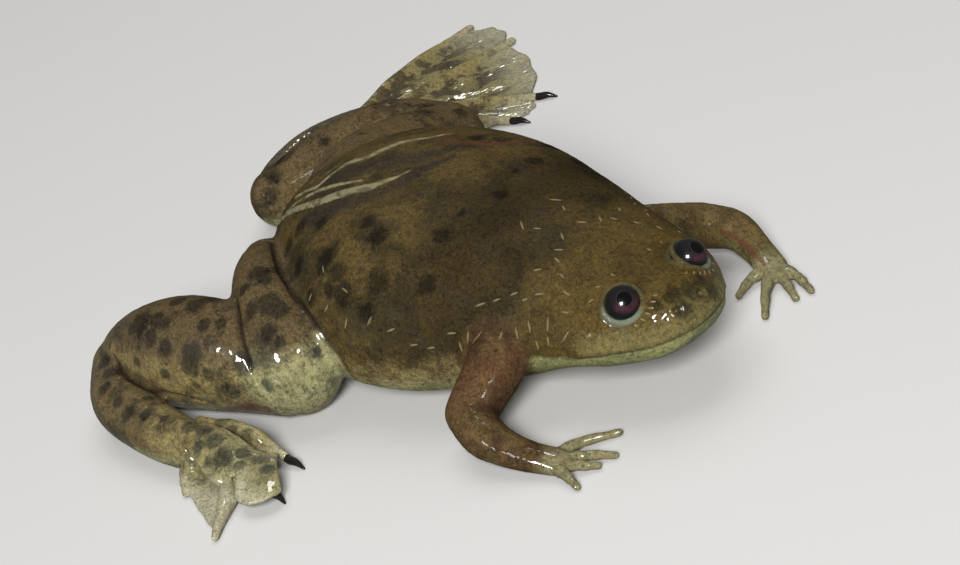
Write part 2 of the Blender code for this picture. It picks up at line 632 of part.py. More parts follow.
for name, piece in pieces.items():
    pale = name.startswith(("foot", "hand", "lower"))
    painted(piece, PALE if pale else OLIVE, 0.3)
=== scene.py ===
"""African clawed frog, a still life-size model: its wet skin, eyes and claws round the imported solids.

Everything is worked out in millimetres in the frog's own frame, +X to the snout, +Y to its left,
+Z up from the floor, and turned into metres where a mesh is made.
"""

import math

import bmesh
import bpy
import numpy as np
from mathutils import Matrix, Vector
from mathutils.bvhtree import BVHTree


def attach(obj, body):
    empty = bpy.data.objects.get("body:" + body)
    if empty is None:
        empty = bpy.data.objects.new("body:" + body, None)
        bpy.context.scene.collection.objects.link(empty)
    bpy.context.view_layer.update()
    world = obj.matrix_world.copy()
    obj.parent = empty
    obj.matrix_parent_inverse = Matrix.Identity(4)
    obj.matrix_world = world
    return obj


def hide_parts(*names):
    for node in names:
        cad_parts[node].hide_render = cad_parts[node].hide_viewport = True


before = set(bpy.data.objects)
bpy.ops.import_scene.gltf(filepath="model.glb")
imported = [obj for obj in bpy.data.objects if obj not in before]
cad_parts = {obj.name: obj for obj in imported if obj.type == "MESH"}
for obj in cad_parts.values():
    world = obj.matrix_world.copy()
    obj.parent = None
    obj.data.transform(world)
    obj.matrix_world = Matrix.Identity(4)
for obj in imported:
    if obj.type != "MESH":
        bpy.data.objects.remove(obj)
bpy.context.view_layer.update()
scene = bpy.context.scene

MM = 0.001

# Body, as stations along X: x, middle, half width, lowest, widest level, highest
BODY_STATIONS = (
    (-33.0, 1.6, 5.6, 3.2, 7.2, 11.0),
    (-30.0, 2.3, 8.4, 1.4, 7.4, 14.4),
    (-26.0, 2.8, 11.6, 0.2, 7.6, 17.2),
    (-19.0, 2.4, 16.0, -0.5, 8.0, 19.8),
    (-10.0, 0.8, 19.0, -0.8, 8.2, 21.0),
    (0.0, 0.0, 18.6, -0.8, 8.0, 20.4),
    (9.0, 0.0, 15.4, 0.0, 7.8, 18.4),
    (16.0, 0.0, 12.7, 1.8, 7.6, 16.2),
    (22.0, 0.0, 11.0, 3.6, 7.7, 14.4),
    (27.0, 0.0, 9.3, 4.1, 7.9, 13.1),
    (31.0, 0.0, 6.7, 4.7, 7.9, 12.2),
    (34.5, 0.0, 4.7, 5.6, 7.9, 11.6),
)
RUMP_CAP, SNOUT_CAP = 5.0, 3.6
POWER_ABOVE, POWER_BELOW = 2.15, 2.5
BODY_RINGS, BODY_SIDES = 120, 120
TURN_FROM_X, TURN_TO_X = 8.0, 24.0
HEAD_TURN = math.radians(7.8)

# Limb knots: x, y, z, half width, half height
LIMBS = {
    "thigh_right": ((-27.4, -8.4, 8.9, 3.8, 4.8), (-22.8, -12.8, 9.0, 4.3, 6.5),
        (-17.4, -17.0, 8.0, 4.9, 7.1), (-12.8, -19.4, 5.8, 5.0, 6.4)),
    "shank_right": ((-14.4, -20.2, 5.4, 4.8, 5.4), (-22.3, -21.2, 6.7, 5.4, 6.8),
        (-30.5, -22.2, 6.6, 5.8, 6.7), (-37.2, -23.3, 5.4, 4.3, 5.2), (-40.2, -24.4, 4.2, 3.4, 3.9)),
    "tarsus_right": ((-40.2, -25.2, 3.8, 3.3, 3.6), (-35.5, -29.0, 3.5, 3.4, 3.7),
        (-28.5, -31.2, 3.1, 3.3, 3.3), (-22.5, -32.2, 2.7, 3.1, 2.9), (-17.0, -32.2, 1.8, 2.8, 2.0)),
    "thigh_left": ((-27.5, 4.0, 9.0, 6.0, 6.2), (-32.0, 13.0, 7.8, 6.6, 7.2),
        (-33.5, 22.0, 6.3, 6.2, 6.4), (-34.5, 29.0, 5.1, 4.8, 5.2)),
    "shank_left": ((-34.5, 29.0, 5.1, 4.8, 5.2), (-40.5, 26.0, 5.8, 5.6, 6.0),
        (-46.5, 20.5, 5.4, 5.2, 5.6), (-51.0, 15.8, 4.3, 4.0, 4.4), (-52.7, 13.6, 3.9, 3.4, 3.9)),
    "tarsus_left": ((-53.4, 14.4, 3.7, 3.3, 3.6), (-57.4, 20.0, 3.1, 3.2, 3.3),
        (-59.4, 27.0, 2.8, 3.3, 3.0), (-59.4, 33.0, 2.2, 3.9, 2.4), (-58.6, 37.5, 1.6, 4.4, 1.8)),
    "upper_arm_right": ((13.0, -8.0, 9.0, 3.8, 3.4), (14.2, -14.5, 6.6, 3.3, 3.1),
        (13.8, -19.2, 3.9, 2.7, 2.8)),
    "forearm_right": ((13.8, -19.2, 3.9, 2.7, 2.8), (17.5, -21.2, 3.1, 2.4, 2.4),
        (22.5, -21.2, 1.7, 1.8, 1.7), (27.0, -20.4, 1.0, 1.8, 1.2)),
    "upper_arm_left": ((13.0, 8.0, 9.0, 3.8, 3.4), (14.0, 14.5, 6.4, 3.2, 3.0),
        (14.8, 19.8, 3.9, 2.6, 2.7)),
    "forearm_left": ((14.8, 19.8, 3.9, 2.6, 2.7), (18.6, 20.8, 3.2, 2.3, 2.3),
        (22.6, 19.6, 1.7, 1.8, 1.7), (26.0, 17.6, 1.0, 1.9, 1.2)),
}

# Toes I to V and fingers I to IV, each through three places, root, middle and tip
TOES_RIGHT = (
    ((-19.5, -30.4, 3.9), (-13.0, -28.7, 3.0), (-7.2, -29.0, 0.8)),
    ((-17.0, -32.0, 1.8), (-9.8, -32.6, 1.4), (-4.2, -34.2, 0.5)),
    ((-17.2, -32.7, 1.7), (-11.5, -33.6, 1.5), (-7.4, -34.7, 1.2)),
    ((-17.6, -33.4, 1.5), (-10.6, -35.2, 1.0), (-4.6, -42.8, 0.42)),
    ((-18.2, -34.0, 1.4), (-17.3, -35.4, 1.0), (-15.4, -37.5, 0.42)),
)
TOES_LEFT = (
    ((-56.0, 34.5, 1.7), (-48.5, 36.4, 0.9), (-41.4, 37.4, 0.45)),
    ((-56.4, 35.4, 1.7), (-46.6, 39.8, 0.9), (-37.4, 42.2, 0.45)),
    ((-57.2, 36.6, 1.7), (-47.6, 44.2, 0.9), (-38.4, 48.6, 0.45)),
    ((-59.0, 37.4, 1.7), (-57.0, 50.2, 1.0), (-55.6, 62.2, 0.42)),
    ((-61.4, 36.6, 1.7), (-65.8, 50.4, 1.1), (-66.4, 64.8, 0.42)),
)
FINGERS_RIGHT = (
    ((25.4, -20.2, 1.0), (26.2, -16.8, 0.8), (28.9, -13.3, 0.36)),
    ((26.8, -20.3, 1.0), (29.0, -18.2, 0.8), (31.3, -16.8, 0.36)),
    ((26.8, -20.6, 1.0), (29.0, -20.0, 0.8), (30.8, -18.9, 0.36)),
    ((26.6, -21.0, 1.0), (29.2, -22.0, 0.8), (31.0, -22.6, 0.36)),
)
FINGERS_LEFT = (
    ((25.4, 17.6, 1.0), (24.6, 15.2, 0.8), (24.8, 12.6, 0.36)),
    ((26.0, 17.4, 1.0), (28.2, 13.4, 0.8), (30.8, 9.7, 0.36)),
    ((26.2, 17.6, 1.0), (29.4, 15.6, 0.8), (31.9, 13.8, 0.36)),
    ((26.0, 18.0, 1.0), (29.6, 17.2, 0.8), (32.8, 15.5, 0.36)),
)
TOE_RADII = (1.05, 0.9, 0.55)
POINTED_TOE_RADII = (1.4, 1.15, 0.42)
FINGER_RADII = (0.9, 0.6, 0.42)
JOINT_SWELL = 0.07
WEB_THICKNESS = 0.5
WEB_ROOT, WEB_EDGE = 0.12, 0.95
WEB_HOLLOWS_RIGHT = (0.2, 0.14, 0.02, -0.02)
WEB_HOLLOWS_LEFT = (0.05, -0.1, -0.11, -0.12)
WEB_RUFFLE, WEB_SAG = 0.14, 0.35
# The skin fold that hangs along the right tarsus and over its toes: attached edge and free edge
FLAP_ROOT = ((-26.5, -31.0, 5.4), (-21.1, -31.4, 5.2), (-17.9, -30.8, 4.9), (-14.1, -30.5, 4.3),
             (-11.1, -30.6, 3.2), (-8.9, -30.8, 2.4), (-7.3, -29.9, 1.9))
FLAP_EDGE = ((-26.1, -33.4, 4.4), (-22.4, -33.9, 4.3), (-18.7, -34.0, 4.1), (-15.5, -35.1, 3.2),
             (-12.5, -36.1, 2.4), (-10.4, -36.5, 1.9), (-9.4, -35.6, 2.1), (-8.4, -35.1, 2.2),
             (-6.3, -37.6, 1.5), (-4.0, -37.9, 1.4), (-2.1, -36.6, 1.5), (-1.6, -34.7, 1.5))
FLAP_ARCH, FLAP_WAVE = 0.7, 0.12
CLAWED_TOES = 3
CLAW_LENGTH = 2.4
CLAW_RADII = (0.5, 0.4, 0.14)
CLAW_ARCH, CLAW_ROOT, CLAW_CLEARANCE = 0.25, 0.5, 0.01
GAP = 0.3
LIMB_SIDES, LIMB_RINGS, DIGIT_SIDES, DIGIT_RINGS = 40, 34, 16, 40
CLAW_SIDES, CLAW_RINGS, STITCH_SIDES, STITCH_RINGS = 24, 20, 10, 12

EYE_RADIUS = 2.0
EYE_PLACE = (28.9, 4.85, 11.8)
EYE_LOOK = (0.50, 0.42, 0.76)
PUPIL_LOOK = (0.705, 0.243, 0.667)
LID_RADIUS, LID_RING_RADIUS, LID_FORWARD = 0.34, 2.1, 0.22
BELOW_EYE = (0.114, 0.523, -0.845)
# Angles from the pupil's middle between which one colour of the eye goes over into the next
PUPIL_TO, IRIS_FROM, RIM_FROM = (0.39, 0.42), (0.43, 0.49), (0.7, 0.95)
NOSTRIL_X, NOSTRIL_DEGREES = 33.5, 62.0
NOSTRIL_DEPTH, NOSTRIL_WIDTH = 0.8, 0.34
RIM_HEIGHT, RIM_FROM_MIDDLE, RIM_WIDTH = 0.15, 0.7, 0.26
MOUTH_LINE = ((21.4, -1.0), (21.8, 4.4), (23.4, 6.5), (26.0, 7.3), (30.0, 7.5), (37.0, 7.7))
# How far the skin is pressed in or raised, and how wide
GROOVE_DEPTH, GROOVE_WIDTH, CHIN_TUCK = 0.2, 0.16, 0.08
LIP_HEIGHT, LIP_ABOVE, LIP_WIDTH = 0.1, 0.6, 0.4
HOLLOWS_DEEPENED, FOLD_HEIGHT, CREASE_DEPTH = 0.9, 0.12, 0.34

COARSE_VOXEL, COARSE_SMOOTHING = 0.34, 8
FINE_VOXEL, FINE_SMOOTHING = 0.2, 3

# Stitches of the lateral line on the right side, and the same on the left. Each one's place along X, its
# angle round the body from the left side over the back, its lean from the body's length, and its length
STITCHES = (
    (5.4, 172, 5, 1.0), (7.2, 174, 5, 1.0), (9.9, 166, 5, 1.1), (10.7, 174, 95, 1.2),
    (11.8, 168, 80, 1.4), (13.5, 170, 80, 2.0), (15.9, 170, 75, 1.8), (17.9, 164, 105, 1.3),
    (19.5, 158, 105, 1.4), (20.5, 172, 100, 1.0), (21.8, 154, 95, 1.6), (22.0, 168, 90, 1.1),
    (24.3, 162, 55, 1.5), (23.5, 142, 5, 0.9), (13.1, 148, 25, 1.2), (14.8, 144, 30, 0.9),
    (16.6, 138, 35, 0.9), (18.1, 140, 40, 0.7), (19.5, 134, 25, 1.1), (22.5, 128, -10, 1.1),
    (20.7, 118, -25, 0.8), (18.9, 110, -20, 0.9), (12.5, 100, -40, 1.5), (17.1, 96, -35, 1.2),
    (14.1, 82, -25, 0.9), (18.1, 76, -30, 1.1), (17.7, 60, -35, 1.0), (3.0, 164, 20, 1.1),
    (0.4, 160, 60, 1.2), (-3.0, 163, 75, 1.3), (-6.2, 158, 60, 1.2), (-9.5, 156, 70, 1.1),
    (-3.6, 148, -20, 1.1), (-8.0, 142, -45, 1.0), (25.5, 104, -10, 0.6), (25.2, 116, 30, 0.6),
    (25.6, 128, 60, 0.6), (29.5, 158, 10, 0.7), (31.3, 109, 35, 0.55), (31.6, 117, 22, 0.6),
    (31.8, 125, 10, 0.65), (31.8, 133, -4, 0.65), (31.6, 141, -18, 0.6), (31.2, 149, -32, 0.55),
)
STITCH_RADIUS, STITCH_SUNK = 0.145, 0.08
STITCH_PROFILE = ((-0.5, 0.6), (-0.25, 0.95), (0.15, 1.0), (0.5, 0.55))
RIPPLE_HEIGHT, RIPPLE_LENGTHS, RIPPLE_WAVES = 0.011, (0.8, 2.2), 22
SNOUT_ROUGHER = 1.6

# Dark spots on the right leg, the rump and the snout: x, y, z and radius
LEG_SPOTS = (
    (-18.3, -16.1, 15.4, 0.9), (-16.5, -16.8, 15.1, 0.6), (-18.6, -18.6, 14.6, 0.5),
    (-15.8, -20.6, 13.4, 0.9), (-13.9, -19.3, 13.8, 1.1), (-12.5, -19.1, 13.1, 0.8),
    (-12.4, -21.8, 11.8, 0.8), (-10.6, -22.0, 11.0, 0.6), (-7.9, -19.7, 8.5, 0.5),
    (-12.4, -24.4, 6.5, 0.6), (-31.7, -25.2, 12.1, 1.2), (-28.5, -24.6, 12.9, 0.8),
    (-28.7, -26.1, 11.5, 0.8), (-26.9, -24.7, 12.8, 0.6), (-24.3, -21.7, 13.7, 1.0),
    (-27.6, -21.6, 13.7, 0.7), (-23.9, -19.8, 13.4, 0.9), (-19.3, -22.7, 12.5, 0.55),
    (-21.3, -23.7, 12.6, 0.6), (-26.1, -26.5, 10.6, 0.8), (-22.0, -25.8, 10.3, 1.0),
    (-22.6, -26.5, 8.8, 1.0), (-20.3, -26.2, 7.8, 0.6), (-26.6, -27.5, 7.8, 0.5),
    (-31.1, -27.6, 8.7, 0.4), (-18.0, -25.8, 5.9, 0.9), (-15.6, -24.5, 9.0, 0.9),
    (-38.2, -27.4, 7.4, 0.8), (-35.6, -28.6, 7.2, 0.9), (-34.5, -31.0, 6.7, 0.7),
    (-30.7, -32.2, 6.3, 0.6), (-28.1, -33.1, 5.8, 0.7), (-27.4, -30.1, 6.0, 0.5),
    (-25.5, -29.3, 5.0, 0.6), (-25.2, -32.8, 5.9, 0.6), (-22.1, -32.4, 5.7, 0.5),
    (-20.0, -31.0, 5.6, 0.6), (-17.9, -32.3, 5.4, 0.8), (-16.0, -32.0, 5.0, 0.7),
    (-15.9, -29.5, 4.5, 0.7), (-14.3, -29.8, 3.7, 0.6), (-12.5, -29.5, 3.1, 0.6),
    (-13.6, -32.8, 4.5, 0.8), (-15.1, -34.0, 4.3, 0.6), (-11.2, -34.1, 3.7, 1.0), (-9.4, -32.4, 3.5, 0.7),
    (-7.0, -32.1, 3.0, 0.8), (-4.8, -33.3, 2.9, 0.7), (-8.4, -34.2, 3.1, 0.5), (-12.8, -35.0, 3.4, 0.5),
)
RUMP_SPOTS = (
    (-19.1, -10.5, 15.4, 1.0), (-8.1, -14.2, 16.9, 1.1), (-5.6, -14.9, 16.5, 1.0),
    (-13.8, -13.9, 15.2, 0.9), (-2.2, -10.5, 18.9, 0.9), (0.7, -14.6, 16.0, 1.1), (6.2, -13.1, 15.2, 0.9),
    (-9.3, -16.8, 13.7, 0.8), (-3.9, -16.5, 14.9, 1.1), (-6.1, -16.4, 15.0, 0.7),
    (-0.3, -17.2, 13.3, 0.9), (-17.0, -9.5, 17.3, 0.9), (-12.4, -9.9, 18.6, 0.8), (-4.7, -9.3, 19.5, 0.8),
    (5.1, -8.0, 18.3, 0.8), (7.3, -0.1, 18.9, 0.7), (5.5, -4.5, 19.0, 0.35),
)
SNOUT_SPOTS = (
    (32.2, -3.3, 11.4, 0.9), (33.0, -1.5, 11.0, 0.9), (32.8, 0.4, 10.9, 0.8), (33.6, 0.9, 9.6, 0.9),
    (33.6, -3.5, 10.1, 0.8), (31.4, -5.2, 11.2, 0.6),
)

# Raised folds that run up the rump, painted pale as a sheen of light along their ridges, with their half
# widths, and the dark violet skin beside them
RAISED_FOLDS_WITH_PAINTED_SHEEN = (
    ((-27.6, -4.6, 14.2, 0.5), (-20.4, -6.1, 17.7, 0.55), (-15.8, -6.5, 19.2, 0.75),
     (-12.0, -5.5, 20.2, 0.85), (-8.4, -4.3, 20.7, 0.7), (-6.5, -2.4, 20.9, 0.4),
     (-5.3, -0.4, 20.9, 0.15)),
    ((-25.4, -5.0, 15.8, 0.3), (-18.6, -4.4, 19.0, 0.4), (-14.4, -4.0, 20.4, 0.4),
     (-11.0, -3.4, 20.8, 0.2)),
    ((-24.4, -3.2, 17.0, 0.35), (-19.3, -3.4, 19.0, 0.45), (-17.9, 0.2, 20.0, 0.6),
     (-14.8, 1.7, 20.6, 0.8), (-13.0, 5.0, 20.6, 0.6), (-9.8, 7.0, 20.5, 0.35), (-8.0, 9.4, 19.8, 0.12)),
    ((-22.6, -1.8, 18.2, 0.2), (-20.0, -0.6, 19.2, 0.3), (-17.4, 2.0, 20.0, 0.3),
     (-15.2, 4.2, 20.4, 0.15)),
)
# Deep creases between body, thigh, shank and foot, with their half widths; they are pressed into the skin and
# painted dark with shade
CREASES = (
    ((-26.0, -7.7, 13.5, 0.3), (-20.7, -11.5, 14.5, 0.34), (-17.1, -14.1, 14.4, 0.34),
     (-13.7, -15.9, 13.3, 0.32), (-11.3, -17.0, 12.5, 0.3), (-9.3, -17.8, 11.7, 0.28),
     (-7.7, -18.4, 10.6, 0.26), (-6.6, -18.8, 9.1, 0.24), (-5.6, -18.9, 7.8, 0.22),
     (-4.8, -18.9, 6.6, 0.15)),
    ((-19.7, -19.3, 13.5, 0.3), (-18.3, -20.6, 12.9, 0.32), (-16.7, -22.2, 11.8, 0.3),
     (-15.5, -23.3, 10.4, 0.24), (-14.7, -24.0, 9.3, 0.18), (-14.2, -24.5, 8.1, 0.1)),
    ((-36.6, -26.9, 8.3, 0.2), (-35.2, -27.8, 7.2, 0.26), (-32.8, -28.4, 6.6, 0.3),
     (-30.2, -28.5, 5.9, 0.3), (-28.2, -27.9, 5.0, 0.3), (-25.8, -27.2, 4.4, 0.3),
     (-23.1, -26.4, 3.6, 0.25)),
)
VIOLET_SKIN = (
    ((-18.0, -8.6, 17.6, 0.8), (-12.1, -8.3, 19.4, 1.3), (-9.2, -7.0, 20.0, 1.3), (-6.5, -4.9, 20.6, 1.2),
     (-4.8, -2.4, 20.8, 1.1), (-3.0, 3.3, 20.6, 0.6)),
    ((-17.4, -2.6, 20.0, 0.9), (-13.4, -1.3, 20.7, 1.5), (-8.9, 1.1, 21.0, 1.6), (-5.6, 3.3, 20.8, 1.0),
     (-3.5, 7.5, 20.0, 0.7)),
)
RUSTY_SKIN = (
    ((-9.0, 7.6, 20.3, 0.4), (-4.9, 6.8, 20.3, 0.7), (-1.0, 9.0, 19.3, 0.8), (-0.6, 12.4, 17.8, 0.6)),
    ((-20.6, -24.8, 2.4, 0.7), (-15.7, -25.0, 3.2, 1.1), (-12.5, -24.6, 2.6, 0.5)),
)
VEIN = ((18.6, 18.7, 4.3, 0.16), (20.5, 18.9, 3.7, 0.2), (22.0, 18.5, 3.0, 0.26), (24.0, 17.6, 2.4, 0.26),
        (25.9, 16.8, 1.9, 0.16))
SPOT_SHADE = (0.35, 0.38, 0.46)

# Square lamps: name, place in metres, width and power. The camera's axes are right, up and back
SOFT_LAMPS = (("key", (0.52, -0.55, 0.47), 0.28, 12.2), ("fill", (-0.2, 0.2, 0.5), 0.5, 1.75))
EYE_GLINTS = (("eye_glint", (0.235, -0.255, 0.215), 0.09, 3.2),)
SKIN_GLINTS = (
    ("snout_glint", (0.262, -0.112, 0.172), 0.055, 0.8), ("top_glint", (-0.08, 0.085, 0.27), 0.035, 0.06),
    ("back_glint", (-0.33, 0.28, 0.21), 0.028, 0.04), ("side_glint", (-0.06, -0.36, 0.17), 0.08, 1.4),
)
LAMPS_FACE = (0.0, 0.0, 0.008)
FLOOR_REACH, FLOOR_DROP = 6.0, 0.02
CAMERA_AXES = ((0.6967, 0.6482, -0.3074), (-0.1140, 0.5231, 0.8446), (0.7083, -0.5534, 0.4384))
CAMERA_SEAT = (0.22206, -0.17466, 0.14472)

FLESH_NODES = (
    "head", "lower_jaw", "torso", "upper_arm_right", "forearm_right", "hand_right",
    "upper_arm_left", "forearm_left", "hand_left", "thigh_right", "shank_right", "tarsus_right",
    "foot_right", "thigh_left", "shank_left", "tarsus_left", "foot_left",
)


# ---------------------------------------------------------------- shapes

def read_smooth(knots, values, at):
    """Values of a smooth curve through the knots, read at the given places along them."""
    knots, values, at = (np.asarray(v, float) for v in (knots, values, at))
    slopes = np.gradient(values, knots, axis=0)
    k = np.clip(np.searchsorted(knots, at, side="right") - 1, 0, len(knots) - 2)
    span = (knots[k + 1] - knots[k])[:, None]
    s = (at - knots[k])[:, None] / span
    later = s * s * (3 - 2 * s)
    return ((1 - later) * values[k] + later * values[k + 1]
            + span * (s * (1 - s) ** 2 * slopes[k] + s * s * (s - 1) * slopes[k + 1]))


def lengths_along(places):
    """How far along a path each of its places lies."""
    return np.concatenate([[0], np.cumsum(np.linalg.norm(np.diff(places, axis=0), axis=1))])


def turn_head(points):
    """Bends what lies ahead of TURN_FROM_X round to the right, as the neck does."""
    points = np.array(points, float)
    reach = TURN_TO_X - TURN_FROM_X
    curve = HEAD_TURN / reach
    ahead = points[..., 0] > TURN_FROM_X
    angle = curve * np.clip(points[..., 0] - TURN_FROM_X, 0, reach)
    beyond = np.maximum(points[..., 0] - TURN_TO_X, 0)
    side = points[..., 1].copy()
    x = TURN_FROM_X + np.sin(angle) / curve + beyond * math.cos(HEAD_TURN) + side * np.sin(angle)
    y = (np.cos(angle) - 1) / curve - beyond * math.sin(HEAD_TURN) + side * np.cos(angle)
    points[..., 0] = np.where(ahead, x, points[..., 0])
    points[..., 1] = np.where(ahead, y, points[..., 1])
    return points


def straighten_head(points):
    """Takes points of the turned head back to where they lie on a straight one."""
    points = np.array(points, float)
    curve = HEAD_TURN / (TURN_TO_X - TURN_FROM_X)
    dx, dy = points[:, 0] - TURN_FROM_X, points[:, 1] + 1 / curve
    angle = np.arctan2(dx, dy)
    bent_x, bent_y = TURN_FROM_X + angle / curve, np.hypot(dx, dy) - 1 / curve
    neck_x = TURN_FROM_X + math.sin(HEAD_TURN) / curve
    neck_y = (math.cos(HEAD_TURN) - 1) / curve
    ex, ey = points[:, 0] - neck_x, points[:, 1] - neck_y
    head_x = TURN_TO_X + ex * math.cos(HEAD_TURN) - ey * math.sin(HEAD_TURN)
    head_y = ex * math.sin(HEAD_TURN) + ey * math.cos(HEAD_TURN)
    beyond = angle > HEAD_TURN
    ahead = dx > 0
    points[:, 0] = np.where(ahead, np.where(beyond, head_x, bent_x), points[:, 0])
    points[:, 1] = np.where(ahead, np.where(beyond, head_y, bent_y), points[:, 1])
    return points


def head_direction(direction):
    """A direction of the straight head, turned as the head is."""
    return Vector(direction).normalized() @ Matrix.Rotation(HEAD_TURN, 3, "Z")


def ring_faces(rings, sides):
    """Quads between rings of points and a cap on each end."""
    faces = [tuple(range(sides)), tuple(range((rings - 1) * sides, rings * sides))]
    for r in range(rings - 1):
        for s in range(sides):
            a, b = r * sides + s, r * sides + (s + 1) % sides
            faces.append((a, b, b + sides, a + sides))
    return faces


def body_section(x, turn):
    """One ring of head or trunk at x, rounder above than below, before the head is turned."""
    stations = np.array(BODY_STATIONS)
    first, last = stations[0, 0], stations[-1, 0]
    middle, half, low, widest, high = read_smooth(stations[:, 0], stations[:, 1:], [x])[0]
    into_cap = max((first + RUMP_CAP - x) / RUMP_CAP, (x - last + SNOUT_CAP) / SNOUT_CAP, 0)
    cap = math.sqrt(max(0.0, 1 - into_cap**2))
    c, s = np.cos(turn), np.sin(turn)
    above = s >= 0
    power = 2 / np.where(above, POWER_ABOVE, POWER_BELOW)
    y = middle + half * cap * np.sign(c) * np.abs(c) ** power
    z = widest + np.where(above, high - widest, widest - low) * cap * np.sign(s) * np.abs(s) ** power
    return np.stack([np.full(len(turn), x), y, z], -1)


def body_point(x, degrees):
    """A place on the turned body at x and an angle round it, with the way out of the skin there."""
    here, left, right = turn_head(body_section(x, np.radians([degrees, degrees + 4, degrees - 4])))
    ahead = turn_head(body_section(x + 0.5, np.radians([degrees])))[0]
    out = np.cross(ahead - here, left - right)
    out /= np.linalg.norm(out)
    return here, out if np.dot(out, here - turn_head([x, 0, 8.0])) > 0 else -out


def body_loft():
    """Points and faces of head and trunk, their rings closer together at both round ends."""
    first, last = BODY_STATIONS[0][0], BODY_STATIONS[-1][0]
    t = np.linspace(0.0, 1.0, BODY_RINGS)
    t = (t + 0.5 - 0.5 * np.cos(math.pi * t)) / 2
    xs = first + 0.02 + (last - first - 0.04) * t
    turn = np.arange(BODY_SIDES) * 2 * math.pi / BODY_SIDES
    rings = turn_head([body_section(x, turn) for x in xs])
    return rings.reshape(-1, 3), ring_faces(BODY_RINGS, BODY_SIDES)


def tube_loft(knots, sides, rings, cap_rings=6, round_start=True, round_end=True):
    """Points and faces of a fleshy tube through knots of x, y, z, half width and half height."""
    knots = np.asarray(knots, float)
    along = lengths_along(knots[:, :3])
    at = np.linspace(0, along[-1], rings)
    rows = read_smooth(along, knots, at)
    centre, size = rows[:, :3], rows[:, 3:5]
    tangent = np.gradient(centre, at, axis=0)
    tangent /= np.linalg.norm(tangent, axis=1)[:, None]
    lift = np.minimum(np.sin(np.linspace(0, math.pi / 2, cap_rings + 1)[1:]), 0.995)
    for wanted, end, way in ((round_start, 0, -1), (round_end, -1, 1)):
        if not wanted:
            continue
        order = lift[::-1] if way < 0 else lift
        caps = centre[end] + way * np.outer(order * size[end].min(), tangent[end])
        cap_size = size[end] * np.sqrt(1 - order**2)[:, None]
        cap_tangent = np.repeat(tangent[end][None], cap_rings, 0)
        parts = ((caps, centre), (cap_size, size), (cap_tangent, tangent))
        centre, size, tangent = (np.vstack(p if way < 0 else p[::-1]) for p in parts)
    side = np.cross(tangent, (0, 0, 1.0))
    side /= np.linalg.norm(side, axis=1)[:, None]
    up = np.cross(side, tangent)
    turn = np.arange(sides) * 2 * math.pi / sides
    points = (centre[:, None] + side[:, None] * (size[:, :1] * np.cos(turn))[..., None]
              + up[:, None] * (size[:, 1:] * np.sin(turn))[..., None])
    return points.reshape(-1, 3), ring_faces(len(centre), sides)


def digit_path(places, at):
    """Places on the middle line of a digit, at parts of its length from 0 to 1."""
    places = np.asarray(places, float)
    along = lengths_along(places)
    return read_smooth(along / along[-1], places, np.atleast_1d(at))


def digit_loft(places, radii, round_end=True):
    """A finger or toe, a little thicker at its joints."""
    at = np.linspace(0, 1, 13)
    spots = digit_path(places, at)
    radius = read_smooth((0, 0.5, 1), np.array(radii)[:, None], at)[:, 0]
    radius *= 1 + JOINT_SWELL * np.cos(at * 3 * 2 * math.pi)
    knots = [(*spot, r, r) for spot, r in zip(spots, radius)]
    return tube_loft(knots, DIGIT_SIDES, DIGIT_RINGS, cap_rings=4, round_start=False, round_end=round_end)


def sheet_loft(grid):
    """A grid of places given the thickness of a web, closed all round."""
    rows, columns = grid.shape[:2]
    half = (0, 0, WEB_THICKNESS / 2)
    points = np.concatenate([(grid + half).reshape(-1, 3), (grid - half).reshape(-1, 3)])
    count, faces = rows * columns, []
    for i in range(rows - 1):
        for j in range(columns - 1):
            a = i * columns + j
            b, c, d = a + 1, a + columns + 1, a + columns
            faces += [(a, b, c, d), (d + count, c + count, b + count, a + count)]
    rim = list(range(columns)) + [i * columns + columns - 1 for i in range(1, rows)]
    rim += [(rows - 1) * columns + j for j in range(columns - 2, -1, -1)]
    rim += [i * columns for i in range(rows - 2, 0, -1)]
    for a, b in zip(rim, rim[1:] + rim[:1]):
        faces.append((b, a, a + count, b + count))
    return points, faces


def web_loft(places_a, places_b, hollow, rows=26, columns=22):
    """A thin web between two toes, its free edge hollow and its sheet ruffled."""
    across = np.linspace(0, 1, columns)
    reach = WEB_EDGE - (hollow - 0.012 * np.cos(6 * math.pi * across)) * np.sin(math.pi * across)
    grid = np.zeros((rows, columns, 3))
    for j, (v, far) in enumerate(zip(across, reach)):
        at = np.linspace(WEB_ROOT, far, rows)
        grid[:, j] = digit_path(places_a, at) * (1 - v) + digit_path(places_b, at) * v
        ruffle = WEB_RUFFLE * np.cos(4 * math.pi * v + 2 * at) - WEB_SAG
        lift = math.sin(math.pi * v) * ruffle * np.minimum(at * 2, 1)
        grid[:, j, 2] = np.maximum(grid[:, j, 2] + lift, WEB_THICKNESS / 2)
    return sheet_loft(grid)


def flap_loft(rows=20, columns=60):
    """A loose fold of skin, arched between the edge that it grows from and its wavy free edge."""
    at = np.linspace(0, 1, columns)
    root, edge = (digit_path(places, at) for places in (FLAP_ROOT, FLAP_EDGE))
    v = np.linspace(0, 1, rows)[:, None, None]
    grid = root * (1 - v) + edge * v
    grid[..., 2] += FLAP_ARCH * np.sin(math.pi * v[..., 0]) + FLAP_WAVE * v[..., 0] * np.sin(at * 22)
    return sheet_loft(grid)


